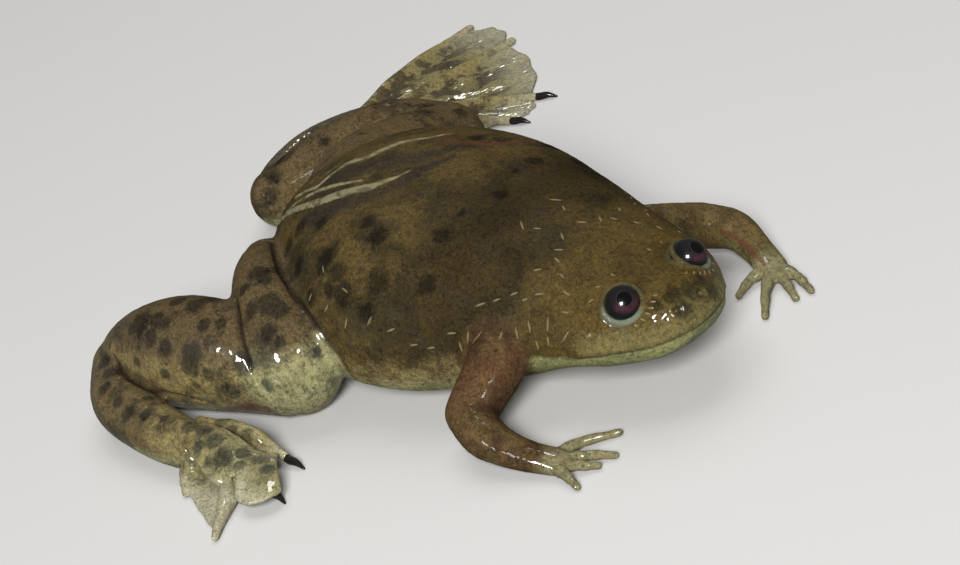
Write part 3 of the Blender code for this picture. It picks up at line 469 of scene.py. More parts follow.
def ring_loft(centre, look, major, minor, segments=72, sides=20):
    """A round roll of flesh about a direction: the lid of an eye."""
    look = Vector(look).normalized()
    turn = np.array(look.to_track_quat("Z", "Y").to_matrix())
    a = np.linspace(0, 2 * math.pi, segments, endpoint=False)[:, None]
    b = np.linspace(0, 2 * math.pi, sides, endpoint=False)[None]
    reach = major + minor * np.cos(b)
    local = np.stack([reach * np.cos(a), reach * np.sin(a), minor * np.sin(b) + 0 * a], -1)
    faces = []
    for i in range(segments):
        for j in range(sides):
            k, m = (i + 1) % segments, (j + 1) % sides
            faces.append((i * sides + j, k * sides + j, k * sides + m, i * sides + m))
    return (local @ turn.T).reshape(-1, 3) + np.array(centre), faces


# ---------------------------------------------------------------- meshes

def add_object(name, data):
    obj = bpy.data.objects.new(name, data)
    scene.collection.objects.link(obj)
    return obj


def merge(into, meshes):
    """Fills a mesh with several others, their vertices one after another."""
    whole = bmesh.new()
    for mesh in meshes:
        whole.from_mesh(mesh)
    whole.to_mesh(into)
    whole.free()
    return into


def solid(name, lofts):
    """A mesh object holding several closed lofts, each with its faces turned outwards."""
    meshes = []
    for points, faces in lofts:
        mesh = bpy.data.meshes.new("loft")
        mesh.from_pydata((np.asarray(points) * MM).tolist(), [], faces)
        one = bmesh.new()
        one.from_mesh(mesh)
        bmesh.ops.recalc_face_normals(one, faces=one.faces)
        one.to_mesh(mesh)
        one.free()
        meshes.append(mesh)
    obj = add_object(name, merge(bpy.data.meshes.new(name), meshes))
    for mesh in meshes:
        bpy.data.meshes.remove(mesh)
    return obj


def fuse(obj, voxel, smoothing):
    """Fuses an object's lofts into one skin and eases it."""
    remesh = obj.modifiers.new("fuse", "REMESH")
    remesh.mode, remesh.voxel_size = "VOXEL", voxel * MM
    ease = obj.modifiers.new("ease", "SMOOTH")
    ease.factor, ease.iterations = 0.5, smoothing
    result = bpy.data.meshes.new_from_object(obj.evaluated_get(bpy.context.evaluated_depsgraph_get()))
    old = obj.data
    obj.modifiers.clear()
    obj.data = result
    bpy.data.meshes.remove(old)
    return obj


def read_rows(data, field, width, kind=np.float32):
    """What each vertex or edge of a mesh holds, as the rows of an array."""
    flat = np.empty(len(data) * width, kind)
    data.foreach_get(field, flat)
    return flat.reshape(-1, width)


def points_of(mesh):
    return read_rows(mesh.vertices, "co", 3).astype(float) / MM


def normals_of(mesh):
    return read_rows(mesh.vertex_normals, "vector", 3).astype(float)


def edges_of(mesh):
    return read_rows(mesh.edges, "vertices", 2, np.int32)


def set_points(mesh, points):
    mesh.vertices.foreach_set("co", (points * MM).astype(np.float32).ravel())
    mesh.update()


def eased(values, edges, rounds):
    """The values of the vertices, each blended with its neighbours' a number of times."""
    values = np.array(values, float)
    wide = values.reshape(len(values), -1)
    a, b = edges[:, 0], edges[:, 1]
    n = len(wide)
    share = np.maximum(np.bincount(a, minlength=n) + np.bincount(b, minlength=n), 1)
    for _ in range(rounds):
        for k in range(wide.shape[1]):
            total = np.bincount(a, wide[b, k], n) + np.bincount(b, wide[a, k], n)
            wide[:, k] = 0.5 * wide[:, k] + 0.5 * total / share
    return wide.reshape(values.shape)


def rise(values, low, high):
    """0 below the low value, 1 above the high one, and a soft step between."""
    t = np.clip((values - low) / (high - low), 0, 1)
    return t * t * (3 - 2 * t)


def fall(values, low, high):
    """1 below the low value, 0 above the high one, and a soft step between."""
    return 1 - rise(values, low, high)


def bell(away, width):
    """1 where the distance is nothing, and fading over the width."""
    return np.exp(-(away / width) ** 2)


def highest(*masks):
    return np.maximum.reduce(masks)


def away_from(points, place):
    return np.linalg.norm(points - place, axis=1)


def distance_to_path(points, path):
    """Distance of each point to a path of straight pieces, and how far along it lies, from 0 to 1."""
    path = np.asarray(path, float)
    best, place = np.full(len(points), 1e9), np.zeros(len(points))
    ends = lengths_along(path)
    for i, (a, b) in enumerate(zip(path[:-1], path[1:])):
        d = b - a
        t = np.clip((points - a) @ d / (d @ d), 0, 1)
        away = np.linalg.norm(points - a - t[:, None] * d, axis=1)
        closer = away < best
        best[closer] = away[closer]
        place[closer] = ((ends[i] + t * (ends[i + 1] - ends[i])) / ends[-1])[closer]
    return best, place


def beside(points, path):
    """Distance to a limb's or fold's middle line, as a share of its half width or thickness there."""
    path = np.array(path)
    away, place = distance_to_path(points, path[:, :3])
    along = lengths_along(path[:, :3])
    return away / np.interp(place, along / along[-1], path[:, 3:].mean(1))


def on_paths(points, paths, inner, outer):
    """A mask of what lies beside any of some paths: full to the inner share of their width, then fading."""
    return highest(*(fall(beside(points, path), inner, outer) for path in paths))


def on_digits(points, digits, inner, outer):
    """A mask of what lies near the middle lines of some fingers or toes."""
    at = np.linspace(0.1, 1, 8)
    paths = (digit_path(places, at) for places in digits)
    return highest(*(fall(distance_to_path(points, path)[0], inner, outer) for path in paths))


# ---------------------------------------------------------------- the frog's shape

def sided(place, sign):
    """A place or direction of the left side, or with sign -1 its mirror image on the right."""
    return np.array(place) * (1, sign, 1)


def eye_place(sign):
    return turn_head(sided(EYE_PLACE, sign))


def eye_piece(name, sign):
    """An eyeball whose own Z axis points out of its pupil."""
    look = head_direction(sided(PUPIL_LOOK, sign))
    ball = bmesh.new()
    bmesh.ops.create_uvsphere(ball, u_segments=96, v_segments=64, radius=EYE_RADIUS * MM)
    mesh = bpy.data.meshes.new(name)
    ball.to_mesh(mesh)
    ball.free()
    mesh.shade_smooth()
    eye = add_object(name, mesh)
    eye.matrix_world = (Matrix.Translation(Vector(eye_place(sign)) * MM)
                        @ look.to_track_quat("Z", "Y").to_matrix().to_4x4())
    return eye


def claw_piece(name, places):
    """A horny cone on a toe's flat end, bent down to the floor."""
    tip = Vector(places[2])
    ahead = (tip - Vector(digit_path(places, 0.9)[0])).normalized()
    start = tip + ahead * GAP
    flat = Vector((ahead.x, ahead.y, 0)).normalized()
    middle = start + (ahead + flat) * CLAW_LENGTH / 4
    end = start + flat * CLAW_LENGTH
    end.z = CLAW_RADII[2] * 0.7
    middle.z = (start.z + end.z) / 2 + CLAW_ARCH
    back = start - ahead * CLAW_ROOT
    knots = [(*place, radius, radius) for place, radius in
             zip((back, start, middle, end), (CLAW_RADII[0] * 0.96, *CLAW_RADII))]
    claw = solid(name, [tube_loft(knots, CLAW_SIDES, CLAW_RINGS, cap_rings=5, round_start=False)])
    points = points_of(claw.data)
    points[:, 2] = np.maximum(points[:, 2], CLAW_CLEARANCE)
    set_points(claw.data, points)
    claw.data.shade_smooth()
    return claw


def skin_piece():
    """Trunk, head and limbs fused and eased, then fused again with digits, webs, fold and lids."""
    limbs = [tube_loft(knots, LIMB_SIDES, LIMB_RINGS) for knots in LIMBS.values()]
    rough = solid("rough", [body_loft()] + limbs)
    fuse(rough, COARSE_VOXEL, COARSE_SMOOTHING)
    lofts = []
    for toes, hollows in ((TOES_RIGHT, WEB_HOLLOWS_RIGHT), (TOES_LEFT, WEB_HOLLOWS_LEFT)):
        for i, places in enumerate(toes):
            radii = POINTED_TOE_RADII if places is TOES_RIGHT[3] else TOE_RADII
            lofts.append(digit_loft(places, radii, round_end=i >= CLAWED_TOES))
        lofts += [web_loft(*web) for web in zip(toes, toes[1:], hollows)]
    lofts.append(flap_loft())
    lofts += [digit_loft(places, FINGER_RADII) for places in (*FINGERS_RIGHT, *FINGERS_LEFT)]
    for sign in (1, -1):
        look = head_direction(sided(EYE_LOOK, sign))
        place = eye_place(sign) + np.array(look) * LID_FORWARD
        lofts.append(ring_loft(place, look, LID_RING_RADIUS, LID_RADIUS))
    extra = solid("extra", lofts)
    skin = add_object("skin", merge(bpy.data.meshes.new("skin"), (rough.data, extra.data)))
    for part in (rough, extra):
        bpy.data.objects.remove(part)
    return fuse(skin, FINE_VOXEL, FINE_SMOOTHING)


def mouth_level(x):
    """The height of the line of the mouth at x on the straight head."""
    line = np.array(MOUTH_LINE)
    return np.interp(x, line[1:, 0], line[1:, 1])


def nostril(sign):
    """The middle of a nostril."""
    return body_point(NOSTRIL_X, 90 + sign * (NOSTRIL_DEGREES - 90))[0]


def shape_skin(skin):
    """Presses mouth, nostrils and creases into the skin, raises its folds and sets it on the floor.

    It returns how hollow the skin is all over, and where its creases run.
    """
    mesh = skin.data
    points, out, edges = points_of(mesh), normals_of(mesh), edges_of(mesh)
    hollow = ((eased(points, edges, 12) - points) * out).sum(1)
    press = -HOLLOWS_DEEPENED * np.clip(hollow - 0.02, 0, 0.4)

    straight = straighten_head(points)
    from_mouth = straight[:, 2] - mouth_level(straight[:, 0])
    on_mouth = rise(straight[:, 0], 22.5, 26.0) * (out[:, 2] < 0.75) * (out[:, 2] > -0.9)
    press -= GROOVE_DEPTH * on_mouth * bell(from_mouth, GROOVE_WIDTH)
    press += LIP_HEIGHT * on_mouth * bell(from_mouth - LIP_ABOVE, LIP_WIDTH)
    press -= CHIN_TUCK * on_mouth * fall(from_mouth, -0.5, -0.1) * rise(from_mouth, -3.0, -1.0)

    for sign in (1, -1):
        away = away_from(points, nostril(sign))
        press += RIM_HEIGHT * bell(away - RIM_FROM_MIDDLE, RIM_WIDTH)
        press -= NOSTRIL_DEPTH * bell(away, NOSTRIL_WIDTH)

    for fold in RAISED_FOLDS_WITH_PAINTED_SHEEN:
        press += FOLD_HEIGHT * fall(beside(points, fold), 0.3, 1.4)
    folded = highest(*(bell(beside(points, fold), 1.15) for fold in CREASES))
    press -= CREASE_DEPTH * folded
    press += ripples(points)

    points += out * press[:, None]
    points[:, 2] = np.maximum(points[:, 2], 0.0)
    set_points(mesh, points)
    mesh.shade_smooth()
    return hollow, folded


def ripples(points):
    """Low uneven waves in every direction, which break up the wet skin's glints."""
    random = np.random.default_rng(4)
    height = np.zeros(len(points))
    for length in np.geomspace(*RIPPLE_LENGTHS, RIPPLE_WAVES):
        way = random.normal(size=3)
        way *= 2 * math.pi / length / np.linalg.norm(way)
        height += np.cos(points @ way + random.uniform(0, 2 * math.pi))
    height = height * RIPPLE_HEIGHT / math.sqrt(RIPPLE_WAVES / 2)
    return height * (1 + SNOUT_ROUGHER * rise(points[:, 0], 29, 32))


def stitch_lofts(skin):
    """Short raised bars that follow the skin on both sides of head and trunk."""
    tree = BVHTree.FromObject(skin, bpy.context.evaluated_depsgraph_get())
    lofts = []
    for x, degrees, lean, length in STITCHES:
        for mirrored in (False, True):
            angle = 180 - degrees if mirrored else degrees
            here, out = body_point(x, angle)
            ahead = body_point(x + 0.5, angle)[0] - here
            ahead /= np.linalg.norm(ahead)
            across = np.cross(ahead, out) if mirrored else np.cross(out, ahead)
            turn = math.radians(lean)
            way = ahead * math.cos(turn) + across * math.sin(turn)
            knots = []
            for part, width in STITCH_PROFILE:
                spot, normal, _, _ = tree.find_nearest(Vector(here + way * part * length) * MM)
                spot = np.array(spot) / MM - np.array(normal) * STITCH_SUNK
                knots.append((*spot, STITCH_RADIUS * width, STITCH_RADIUS * width))
            lofts.append(tube_loft(knots, STITCH_SIDES, STITCH_RINGS, cap_rings=3))
    return lofts


def add_stitches(skin):
    """Joins the stitches to the skin's mesh, and returns which of its vertices are theirs."""
    count = len(skin.data.vertices)
    bars = solid("bars", stitch_lofts(skin))
    merge(skin.data, (skin.data, bars.data))
    bpy.data.objects.remove(bars)
    skin.data.shade_smooth()
    return np.arange(len(skin.data.vertices)) >= count


# ---------------------------------------------------------------- where the skin's colours lie

def spotted(points, spots):
    """How deep each point lies in the nearest of some round spots, 0.5 at a spot's edge."""
    depth = np.zeros(len(points))
    for x, y, z, radius in spots:
        depth = np.maximum(depth, fall(away_from(points, (x, y, z)) / radius, 0.3, 2.5))
    return depth


def scattered_spots(knots, count, seed):
    """Dark spots strewn over the upper side of a limb: x, y, z and radius."""
    knots, random = np.array(knots), np.random.default_rng(seed)
    at = random.uniform(0, len(knots) - 1, count)
    rows = np.stack([np.interp(at, np.arange(len(knots)), column) for column in knots.T], -1)
    along = knots[-1, :2] - knots[0, :2]
    side = np.array((along[1], -along[0], 0)) / np.linalg.norm(along)
    turn = random.uniform(0.1, 3.0, count)
    places = (rows[:, :3] + side * (np.cos(turn) * rows[:, 3])[:, None]
              + np.array((0, 0, 1.0)) * (np.sin(turn) * rows[:, 4])[:, None])
    return np.column_stack([places, random.uniform(0.5, 1.1, count)])


def on_webs(points, toes):
    """Which points lie on the toes or the webs between them, and how near the tips."""
    corners = np.vstack(toes)
    low, high = corners.min(0) - 2, corners.max(0) + 2
    inside = np.nonzero(((points > low) & (points < high)).all(1))[0]
    away, along = np.full(len(inside), 9.0), np.zeros(len(inside))
    at = np.linspace(0.12, 1.05, 9)
    for one, other in zip(toes, toes[1:]):
        for v in np.linspace(0, 1, 7):
            path = digit_path(one, at) * (1 - v) + digit_path(other, at) * v
            near, place = distance_to_path(points[inside], path)
            along = np.where(near < away, place, along)
            away = np.minimum(away, near)
    mask, tips = np.zeros(len(points)), np.zeros(len(points))
    mask[inside] = fall(away, 1.1, 2.2)
    tips[inside] = mask[inside] * rise(along, 0.6, 1.0)
    return mask, tips


def mark_skin(skin, hollow, folded, stitch):
    """Stores one number from 0 to 1 for each vertex and each zone of the skin, for the material to read.

    Zones are given in millimetres of x and z on the straight head and body, with limbs, webs and
    digits found by their distance to the paths that they were lofted on.
    """
    mesh = skin.data
    points, edges, out = points_of(mesh), edges_of(mesh), normals_of(mesh)
    hollow, folded = (np.concatenate([v, np.zeros(len(points) - len(v))]) for v in (hollow, folded))
    x, _, z = straighten_head(points).T
    on_left, level = points[:, 1] > 0, mouth_level(x)

    near = {name: beside(points, knots) for name, knots in LIMBS.items()}
    limb = {name: fall(away, 1.15, 1.5) for name, away in near.items()}
    arm_names = [name for name in LIMBS if "arm" in name]
    arms = highest(*(limb[name] for name in arm_names)) * rise(x, 9, 12)
    legs = highest(*(limb[name] for name in LIMBS if name not in arm_names))
    trunk = (1 - arms) * (1 - legs)
    right_web, right_tips = on_webs(points, TOES_RIGHT)
    left_web, left_tips = on_webs(points, TOES_LEFT)
    right_web = np.maximum(right_web, 0.8 * on_webs(points, (FLAP_ROOT, FLAP_EDGE))[0])
    right_tips = np.maximum(right_tips, 0.9 * right_web * rise(-points[:, 1], 35.2, 37.4))
    fingers = on_digits(points, (*FINGERS_RIGHT, *FINGERS_LEFT), 1.0, 2.4)

    mouth = rise(x, 23.0, 26.5) * bell(z - level, 0.14) * (out[:, 2] < 0.7)
    nostrils = highest(*(fall(away_from(points, nostril(sign)), 0.2, 0.52) for sign in (1, -1)))
    throat = rise(x, 20.5, 24) * rise(level - z, -0.1, 0.25)
    neck = rise(x, 15, 20) * fall(x, 24, 27) * fall(z, 6.2, 8.2) * (out[:, 2] < 0.2)
    low = np.maximum(fall(z, 1.2, 4.2), 0.75 * fall(z, 3.0, 7.5) * trunk)
    thigh_front = limb["thigh_right"] * rise(x, -19, -12) * fall(z, 5.5, 14.5)
    cheek = np.maximum(rise(x, 23, 28) * fall(z, 8.6, 11.2), 0.75 * rise(x, 30.5, 35))
    tan_legs = legs * (1 - 0.55 * limb["tarsus_right"]) * fall(z, 6, 13) * (1 - 0.65 * on_left)
    flank = 0.75 * fall(z, 5.0, 10.5) * trunk * fall(x, 18, 22)
    strewn = (("thigh_left", 12), ("shank_left", 16), ("tarsus_left", 10))
    spots = highest(
        spotted(points, LEG_SPOTS), 0.85 * spotted(points, RUMP_SPOTS), 0.8 * spotted(points, SNOUT_SPOTS),
        0.8 * spotted(sided(points, -1), RUMP_SPOTS),
        *(0.75 * spotted(points, scattered_spots(LIMBS[name], count, 5)) for name, count in strewn))

    dry_leg = np.maximum(limb["thigh_left"], limb["shank_left"])
    wet = highest(legs * (1 - 0.95 * dry_leg) * fall(z, 11.6, 12.6), 0.12 * arms * fall(z, 6, 8),
                  rise(x, 26.5, 30) * fall(z, 11.1, 11.9), right_web, 0.7 * left_web, 0.6 * fingers)
    lids = np.zeros(len(points))
    for sign in (1, -1):
        from_eye = points - eye_place(sign)
        away = np.linalg.norm(from_eye, axis=1)
        below = from_eye @ sided(BELOW_EYE, sign) / np.maximum(away, 0.01)
        lids = np.maximum(lids, fall(away, 2.38, 2.62) * (0.12 + 0.88 * rise(below, 0.0, 0.55)))
        wet = np.maximum(wet, fall(away, 2.8, 3.3) * rise(below, 0.2, 0.5))

    for name, values in {
            # painted shade: darker wherever the skin is hollow, in the creases, along the mouth's groove and
            # in the nostrils
            "painted_hollow_shade": highest(rise(eased(hollow, edges, 1), 0.05, 0.3), 0.55 * mouth, nostrils, folded),
            "pale": highest(low, throat, neck, thigh_front) * (1 - 0.85 * arms * rise(z, 0.4, 1.2)),
            "tan": highest(tan_legs, flank, 0.6 * arms * on_left, 1.2 * right_web),
            # painted shade: the trunk darkened from behind the shoulders to the neck
            "painted_back_shade": rise(x, -1, 9) * fall(x, 9, 22) * trunk,
            "throat": np.maximum(throat, neck),
            "head": rise(x, 15, 27),
            "cheek": cheek * (1 - throat),
            "arm": (highest(*(fall(near[name], 0.95, 1.45) for name in arm_names)) * rise(x, 9, 12)
                    * (1 - 0.45 * on_left)),
            "upper_arm": (fall(near["upper_arm_right"], 0.85, 1.4) * rise(x, 9, 13) * rise(z, 2, 8)
                          * fall(z, 8, 11)),
            "spot": spots,
            "leg": legs,
            # painted sheen: pale streaks of light along the ridges of the raised folds
            "fold": on_paths(points, RAISED_FOLDS_WITH_PAINTED_SHEEN, 0.6, 1.35),
            "violet": on_paths(points, VIOLET_SKIN, 0.3, 2.0),
            "rust": on_paths(points, RUSTY_SKIN, 0.3, 1.9),
            "vein": on_paths(points, (VEIN,), 0.5, 1.3),
            "stitch": stitch.astype(float),
            "finger": fingers,
            "web": np.maximum(0.4 * right_web, left_web),
            "web_tip": np.maximum(right_tips, 0.8 * left_tips),
            "toe": on_digits(points, (*TOES_RIGHT, *TOES_LEFT), 0.6, 1.4),
            "lid": lids,
            "wet": wet * (1 - np.minimum(folded * 1.5, 1)) * (1 - 0.7 * lids),
    }.items():
        field = mesh.attributes.new(name, "FLOAT", "POINT")
        field.data.foreach_set("value", np.clip(values, 0, 1).astype(np.float32))


# ---------------------------------------------------------------- materials

class Nodes:
    """The nodes of one shader tree, and short ways of adding to them."""

    def __init__(self, tree):
        self.tree = tree

    def fill(self, made, inputs):
        """Links or sets a node's inputs, each by its name or its number."""
        for name, value in inputs.items():
            socket = made.inputs[name]
            if isinstance(value, bpy.types.NodeSocket):
                self.tree.links.new(value, socket)
            else:
                socket.default_value = (*value, 1.0) if socket.type == "RGBA" else value
        return made

    def add(self, kind, inputs=None, **settings):
        made = self.tree.nodes.new("ShaderNode" + kind)
        for name, value in settings.items():
            setattr(made, name, value)
        return self.fill(made, inputs or {})

    def mixed(self, factor, a, b, blend="MIX"):
        """Mixes two colours by a mask."""
        return self.add("Mix", {0: factor, 6: a, 7: b}, data_type="RGBA", blend_type=blend).outputs[2]

    def maths(self, kind, a, b=0.0, c=0.0, clamp=False):
        return self.add("Math", {0: a, 1: b, 2: c}, operation=kind, use_clamp=clamp).outputs[0]

    def times(self, a, b):
        return self.maths("MULTIPLY", a, b)

    def times_plus(self, a, b, c):
        return self.maths("MULTIPLY_ADD", a, b, c)

    def spread(self, value, low, high, to_low=0.0, to_high=1.0):
        """Maps a value's range onto another with soft ends."""
        return self.add("MapRange", {0: value, 1: low, 2: high, 3: to_low, 4: to_high},
                        interpolation_type="SMOOTHSTEP").outputs[0]

    def noise(self, where, scale, detail=2.0, rough=0.5, warp=0.0):
        return self.add("TexNoise", {"Vector": where, "Scale": scale, "Detail": detail,
                                     "Roughness": rough, "Distortion": warp}).outputs[0]

    def stored(self, name):
        """A number that mark_skin stored on the mesh."""
        return self.add("Attribute", attribute_name=name).outputs["Fac"]

    def place(self):
        return self.add("TexCoord").outputs["Object"]

    def bump(self, height, distance):
        return self.add("Bump", {"Height": height, "Distance": distance}).outputs[0]


def new_group(name, ins, outs):
    """An empty shader node group with named inputs and outputs."""
    group = bpy.data.node_groups.new(name, "ShaderNodeTree")
    for label, kind, value in ins:
        socket = group.interface.new_socket(label, in_out="INPUT", socket_type="NodeSocket" + kind)
        if value is not None:
            socket.default_value = value
    for label, kind in outs:
        group.interface.new_socket(label, in_out="OUTPUT", socket_type="NodeSocket" + kind)
    return Nodes(group), group.nodes.new("NodeGroupInput").outputs, group.nodes.new("NodeGroupOutput")


def speckle_group():
    """Fine dark and light flecks: the grain of pigment cells in the skin."""
    group, given, result = new_group(
        "pigment_flecks",
        [("Place", "Vector", None), ("Base", "Color", (0.1, 0.07, 0.03, 1.0)),
         ("Dark Amount", "Float", 0.9), ("Light Amount", "Float", 0.9)],
        [("Color", "Color")])
    place = given["Place"]
    fine = group.spread(group.noise(place, 4200.0, 3.0, 0.65), 0.44, 0.62)
    cells = group.spread(group.noise(place, 1900.0, 3.0, 0.6), 0.47, 0.64)
    light = group.spread(group.noise(place, 3000.0, 3.0, 0.6, 0.4), 0.53, 0.68)
    dark = group.maths("MULTIPLY_ADD", cells, 0.5, group.times(fine, 0.6), clamp=True)
    tone = group.mixed(group.times(dark, given["Dark Amount"]), given["Base"], (0.36, 0.37, 0.42), "MULTIPLY")
    tone = group.mixed(group.times(light, given["Light Amount"]), tone, (1.7, 1.6, 1.35), "MULTIPLY")
    group.fill(result, {"Color": tone})
    return group.tree


def wet_group():
    """A wet film: its roughness and the fine relief under it."""
    group, given, result = new_group(
        "wet_film",
        [("Place", "Vector", None), ("Smoothest", "Float", 0.3), ("Roughest", "Float", 0.5),
         ("Relief", "Float", 1.0)],
        [("Roughness", "Float"), ("Height", "Float")])
    place, smoothest = given["Place"], given["Smoothest"]
    patches = group.spread(group.noise(place, 260.0, 3.0, 0.6), 0.35, 0.65)
    range_up = group.maths("SUBTRACT", given["Roughest"], smoothest)
    waves, grains = group.noise(place, 420.0, 2.0, 0.5), group.noise(place, 1500.0, 3.0, 0.55)
    group.fill(result, {"Roughness": group.times_plus(patches, range_up, smoothest),
                        "Height": group.times(group.times_plus(waves, 2.2, grains), given["Relief"])})
    return group.tree


def new_material(name):
    """A material, its nodes and its shader."""
    material = bpy.data.materials.new(name)
    material.use_nodes = True
    material.node_tree.nodes.clear()
    tree = Nodes(material.node_tree)
    shader = tree.add("BsdfPrincipled")
    tree.add("OutputMaterial", {"Surface": shader.outputs[0]})
    return material, tree, shader


def skin_material(flecks, film):
    """Olive-brown back over a pale underside, spotted, flecked and wet, with painted shade in its hollows and
    creases and over the front of the back, and painted sheen along the rump's folds.
    """
    material, tree, shader = new_material("wet_frog_skin")
    place = tree.place()
    coarse = tree.maths("SUBTRACT", tree.noise(place, 420.0, 3.0, 0.6), 0.5)
    fine = tree.maths("SUBTRACT", tree.noise(place, 2300.0, 3.0, 0.7), 0.5)
    uneven = tree.times_plus(fine, 0.9, coarse)

    def clouds(scale, detail, rough, warp, low, high):
        """Patches of noise with soft edges."""
        return tree.spread(tree.noise(place, scale, detail, rough, warp), low, high)

    def share(name, amount):
        return tree.times(tree.stored(name), amount)

    def ragged(name, reach, low, high):
        """A stored mask whose edge is frayed by noise, in lobes and in grains."""
        return tree.spread(tree.times_plus(uneven, reach, tree.stored(name)), low, high)

    def painted(tone, *coats):
        """A tone with other colours over it, each laid on through its mask."""
        for mask, top in coats:
            tone = tree.mixed(mask, tone, top)
        return tone

    mottle = clouds(620.0, 4.0, 0.65, 0.0, 0.42, 0.68)
    tan = tree.mixed(mottle, (0.235, 0.185, 0.074), (0.13, 0.098, 0.046))
    underside = tree.mixed(mottle, (0.31, 0.295, 0.145), (0.19, 0.175, 0.082))
    worn = clouds(260.0, 3.0, 0.6, 0.4, 0.4, 0.6)
    brown = tree.mixed(worn, (0.1, 0.064, 0.025), (0.052, 0.028, 0.013))
    tone = painted(
        (0.083, 0.057, 0.0185),
        (clouds(120.0, 4.0, 0.6, 0.4, 0.42, 0.6), (0.041, 0.031, 0.0125)),
        # painted shade over the front of the back
        (share("painted_back_shade", 0.8), (0.024, 0.0158, 0.006)),
        (tree.times(clouds(330.0, 4.0, 0.65, 0.3, 0.5, 0.68), 0.6), (0.03, 0.025, 0.016)),
        (share("head", 0.6), (0.084, 0.056, 0.013)),
        (share("leg", 0.7), (0.108, 0.077, 0.037)),
        (ragged("tan", 0.9, 0.2, 1.05), tan),
        (ragged("cheek", 0.5, 0.1, 1.15), (0.145, 0.122, 0.045)),
        (ragged("pale", 0.7, 0.2, 0.95), underside),
        (ragged("throat", 0.2, 0.2, 0.8), (0.2, 0.205, 0.085)),
        (ragged("arm", 0.5, 0.1, 1.0), brown),
        (ragged("upper_arm", 0.6, 0.1, 1.2), (0.094, 0.047, 0.022)),
        (tree.times(ragged("violet", 1.3, 0.1, 1.2), 0.8), (0.03, 0.0235, 0.0185)),
        (ragged("rust", 0.9, 0.2, 1.4), (0.105, 0.042, 0.022)))

    patches = tree.times_plus(fine, 0.4, tree.noise(place, 240.0, 4.0, 0.6, 0.5))
    blotches = tree.times(tree.spread(patches, 0.5, 0.64), tree.times_plus(tree.stored("leg"), 0.5, 0.3))
    tone = tree.mixed(blotches, tone, SPOT_SHADE, "MULTIPLY")
    webbing = tree.times_plus(fine, 0.3, tree.noise(place, 260.0, 3.0, 0.55, 0.6))
    web = tree.mixed(tree.spread(webbing, 0.47, 0.56), (0.2, 0.165, 0.066), (0.05, 0.036, 0.02))
    tone = tree.mixed(share("web", 0.92), tone, web)
    tone = tree.mixed(ragged("spot", 1.1, 0.18, 0.8), tone, SPOT_SHADE, "MULTIPLY")
    tone = painted(
        tone,
        (share("web_tip", 0.85), (0.44, 0.42, 0.29)),
        (share("toe", 0.25), (0.26, 0.19, 0.08)),
        (share("finger", 0.85), (0.2, 0.175, 0.09)))
    light = tree.times_plus(tree.stored("pale"), -0.4, 0.75)
    flecked = tree.add("Group", {"Place": place, "Base": tone, "Light Amount": light}, node_tree=flecks)

    drawn = tree.add("Mapping", {"Vector": place, "Scale": (0.3, 0.6, 1.4)}).outputs[0]
    streaks = tree.spread(tree.noise(drawn, 1500.0, 2.0, 0.5), 0.36, 0.56, 0.35, 1.0)
    tone = painted(
        flecked.outputs["Color"],
        # painted sheen: pale streaky light laid along the raised folds' ridges
        (tree.times(ragged("fold", 1.2, 0.3, 0.95), streaks), (0.19, 0.168, 0.095)),
        (share("vein", 0.6), (0.1, 0.028, 0.022)),
        (share("lid", 0.85), (0.135, 0.155, 0.115)),
        (share("stitch", 0.8), (0.17, 0.14, 0.068)),
        # painted shade in the hollows, creases, mouth groove and nostrils, nearly black
        (share("painted_hollow_shade", 0.92), (0.01, 0.006, 0.004)))

    wet, damp = tree.stored("wet"), tree.add("Group", {"Place": place}, node_tree=film)
    dry_rough = tree.maths("ADD", damp.outputs["Roughness"], 0.35)
    tree.fill(shader, {
        "Base Color": tone, "Roughness": tree.times_plus(wet, -0.35, dry_rough),
        "Coat Weight": tree.times_plus(wet, 0.87, 0.002), "Coat Roughness": 0.04,
        "Specular IOR Level": 0.05, "Subsurface Weight": 0.1, "Subsurface Radius": (1.0, 0.5, 0.3),
        "Subsurface Scale": 0.0008, "Normal": tree.bump(damp.outputs["Height"], 0.0001)})
    return material


def eye_material():
    """Black round pupil, maroon iris and a blue-black rim, by the angle from the pupil's middle."""
    material, tree, shader = new_material("wet_eye")
    way = tree.add("VectorMath", {0: tree.place()}, operation="NORMALIZE").outputs[0]
    _, height, outwards = tree.add("SeparateXYZ", {0: way}).outputs
    angle = tree.maths("ARCCOSINE", outwards)
    streaks = tree.spread(tree.noise(way, 7.0, 2.0, 0.6, 1.0), 0.35, 0.7)
    maroon = tree.mixed(streaks, (0.026, 0.009, 0.013), (0.05, 0.0165, 0.025))
    iris = tree.mixed(tree.spread(height, 0.15, -0.4), (0.009, 0.0075, 0.009), maroon)
    tone = tree.mixed(tree.spread(angle, *IRIS_FROM), (0.02, 0.015, 0.02), iris)
    tone = tree.mixed(tree.spread(angle, *RIM_FROM), tone, (0.004, 0.005, 0.005))
    tone = tree.mixed(tree.spread(angle, *PUPIL_TO), (0.0015, 0.0015, 0.0015), tone)
    tree.fill(shader, {"Base Color": tone, "Roughness": 0.25, "Specular IOR Level": 0.12,
                       "Coat Weight": 1.0, "Coat Roughness": 0.02})
    return material


def claw_material(film):
    """Black horn under a wet film."""
    material, tree, shader = new_material("black_horn")
    place = tree.place()
    wet = tree.add("Group", {"Place": place, "Smoothest": 0.1, "Roughest": 0.25}, node_tree=film)
    tone = tree.mixed(tree.noise(place, 900.0, 3.0), (0.004, 0.004, 0.004), (0.02, 0.016, 0.012))
    tree.fill(shader, {"Base Color": tone, "Roughness": wet.outputs["Roughness"],
                       "Normal": tree.bump(wet.outputs["Height"], 0.00002)})
    return material


def paint(obj, material):
    obj.data.materials.clear()
    obj.data.materials.append(material)
    return obj


# ---------------------------------------------------------------- the frog

flecks, film = speckle_group(), wet_group()
skin = skin_piece()
hollow, folded = shape_skin(skin)
stitch = add_stitches(skin)
mark_skin(skin, hollow, folded, stitch)
paint(skin, skin_material(flecks, film))
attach(skin, "root")
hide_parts(*FLESH_NODES)

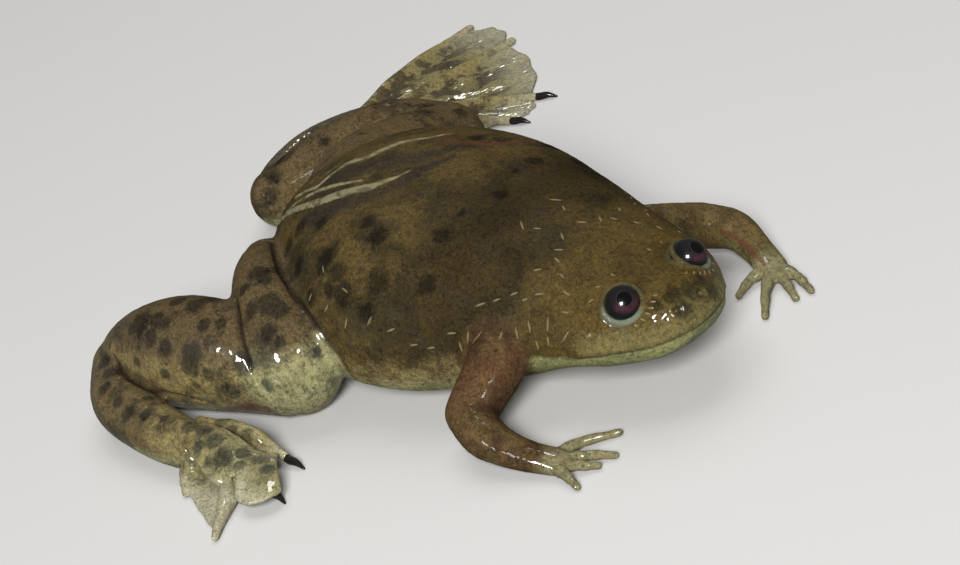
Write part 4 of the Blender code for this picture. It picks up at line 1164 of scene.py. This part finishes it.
wet_eye, black_horn = eye_material(), claw_material(film)
eyes_and_claws = []
for side, sign, toes in (("left", 1, TOES_LEFT), ("right", -1, TOES_RIGHT)):
    eye = paint(eye_piece("eyeball_" + side, sign), wet_eye)
    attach(eye, "root")
    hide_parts("eye_" + side)
    eyes_and_claws.append(eye)
    for number, places in enumerate(toes[:CLAWED_TOES], 1):
        claw = paint(claw_piece(f"horn_{side}_{number}", places), black_horn)
        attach(claw, "root")
        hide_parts(f"claw_{side}_{number}")
        eyes_and_claws.append(claw)


# ---------------------------------------------------------------- studio

def pale_floor():
    """A plain pale sheet a hair below the frog."""
    mesh = bpy.data.meshes.new("floor")
    far = FLOOR_REACH
    mesh.from_pydata([(-far, -far, 0), (far, -far, 0), (far, far, 0), (-far, far, 0)], [], [(0, 1, 2, 3)])
    floor = add_object("floor", mesh)
    floor.location.z = -FLOOR_DROP * MM
    material, tree, shader = new_material("pale_floor")
    tree.fill(shader, {"Base Color": (0.58, 0.573, 0.56), "Roughness": 0.7})
    paint(floor, material)
    floor.visible_glossy = False


def lamp(name, place, size, power, gloss):
    """A square lamp facing the frog: a soft one lights the skin, a small one only glints on it."""
    light = bpy.data.lights.new(name, "AREA")
    light.size, light.energy = size, power
    obj = add_object(name, light)
    obj.location = place
    obj.rotation_euler = (Vector(LAMPS_FACE) - Vector(place)).to_track_quat("-Z", "Y").to_euler()
    obj.visible_glossy, obj.visible_diffuse = gloss, not gloss
    return obj


pale_floor()
for row in SOFT_LAMPS:
    lamp(*row, False)
for name, rows, lit in (("glinting_eyes", EYE_GLINTS, eyes_and_claws),
                        ("glinting_skin", SKIN_GLINTS, [skin])):
    glinting = bpy.data.collections.new(name)
    for obj in lit:
        glinting.objects.link(obj)
    for row in rows:
        lamp(*row, True).light_linking.receiver_collection = glinting
world = bpy.data.worlds.new("studio")
scene.world = world
world.use_nodes = True
Nodes(world.node_tree).fill(world.node_tree.nodes["Background"], {0: (0.95, 0.94, 0.92), 1: 0.1})
scene.view_settings.view_transform = "Standard"

camera = add_object("camera", bpy.data.cameras.new("camera"))
camera.data.lens, camera.data.sensor_width = 105.0, 36.0
camera.data.clip_start, camera.data.clip_end = 0.01, 20.0
camera.matrix_world = Matrix([row + (seat,) for row, seat in zip(zip(*CAMERA_AXES), CAMERA_SEAT)]
                             + [(0, 0, 0, 1)])
scene.camera = camera
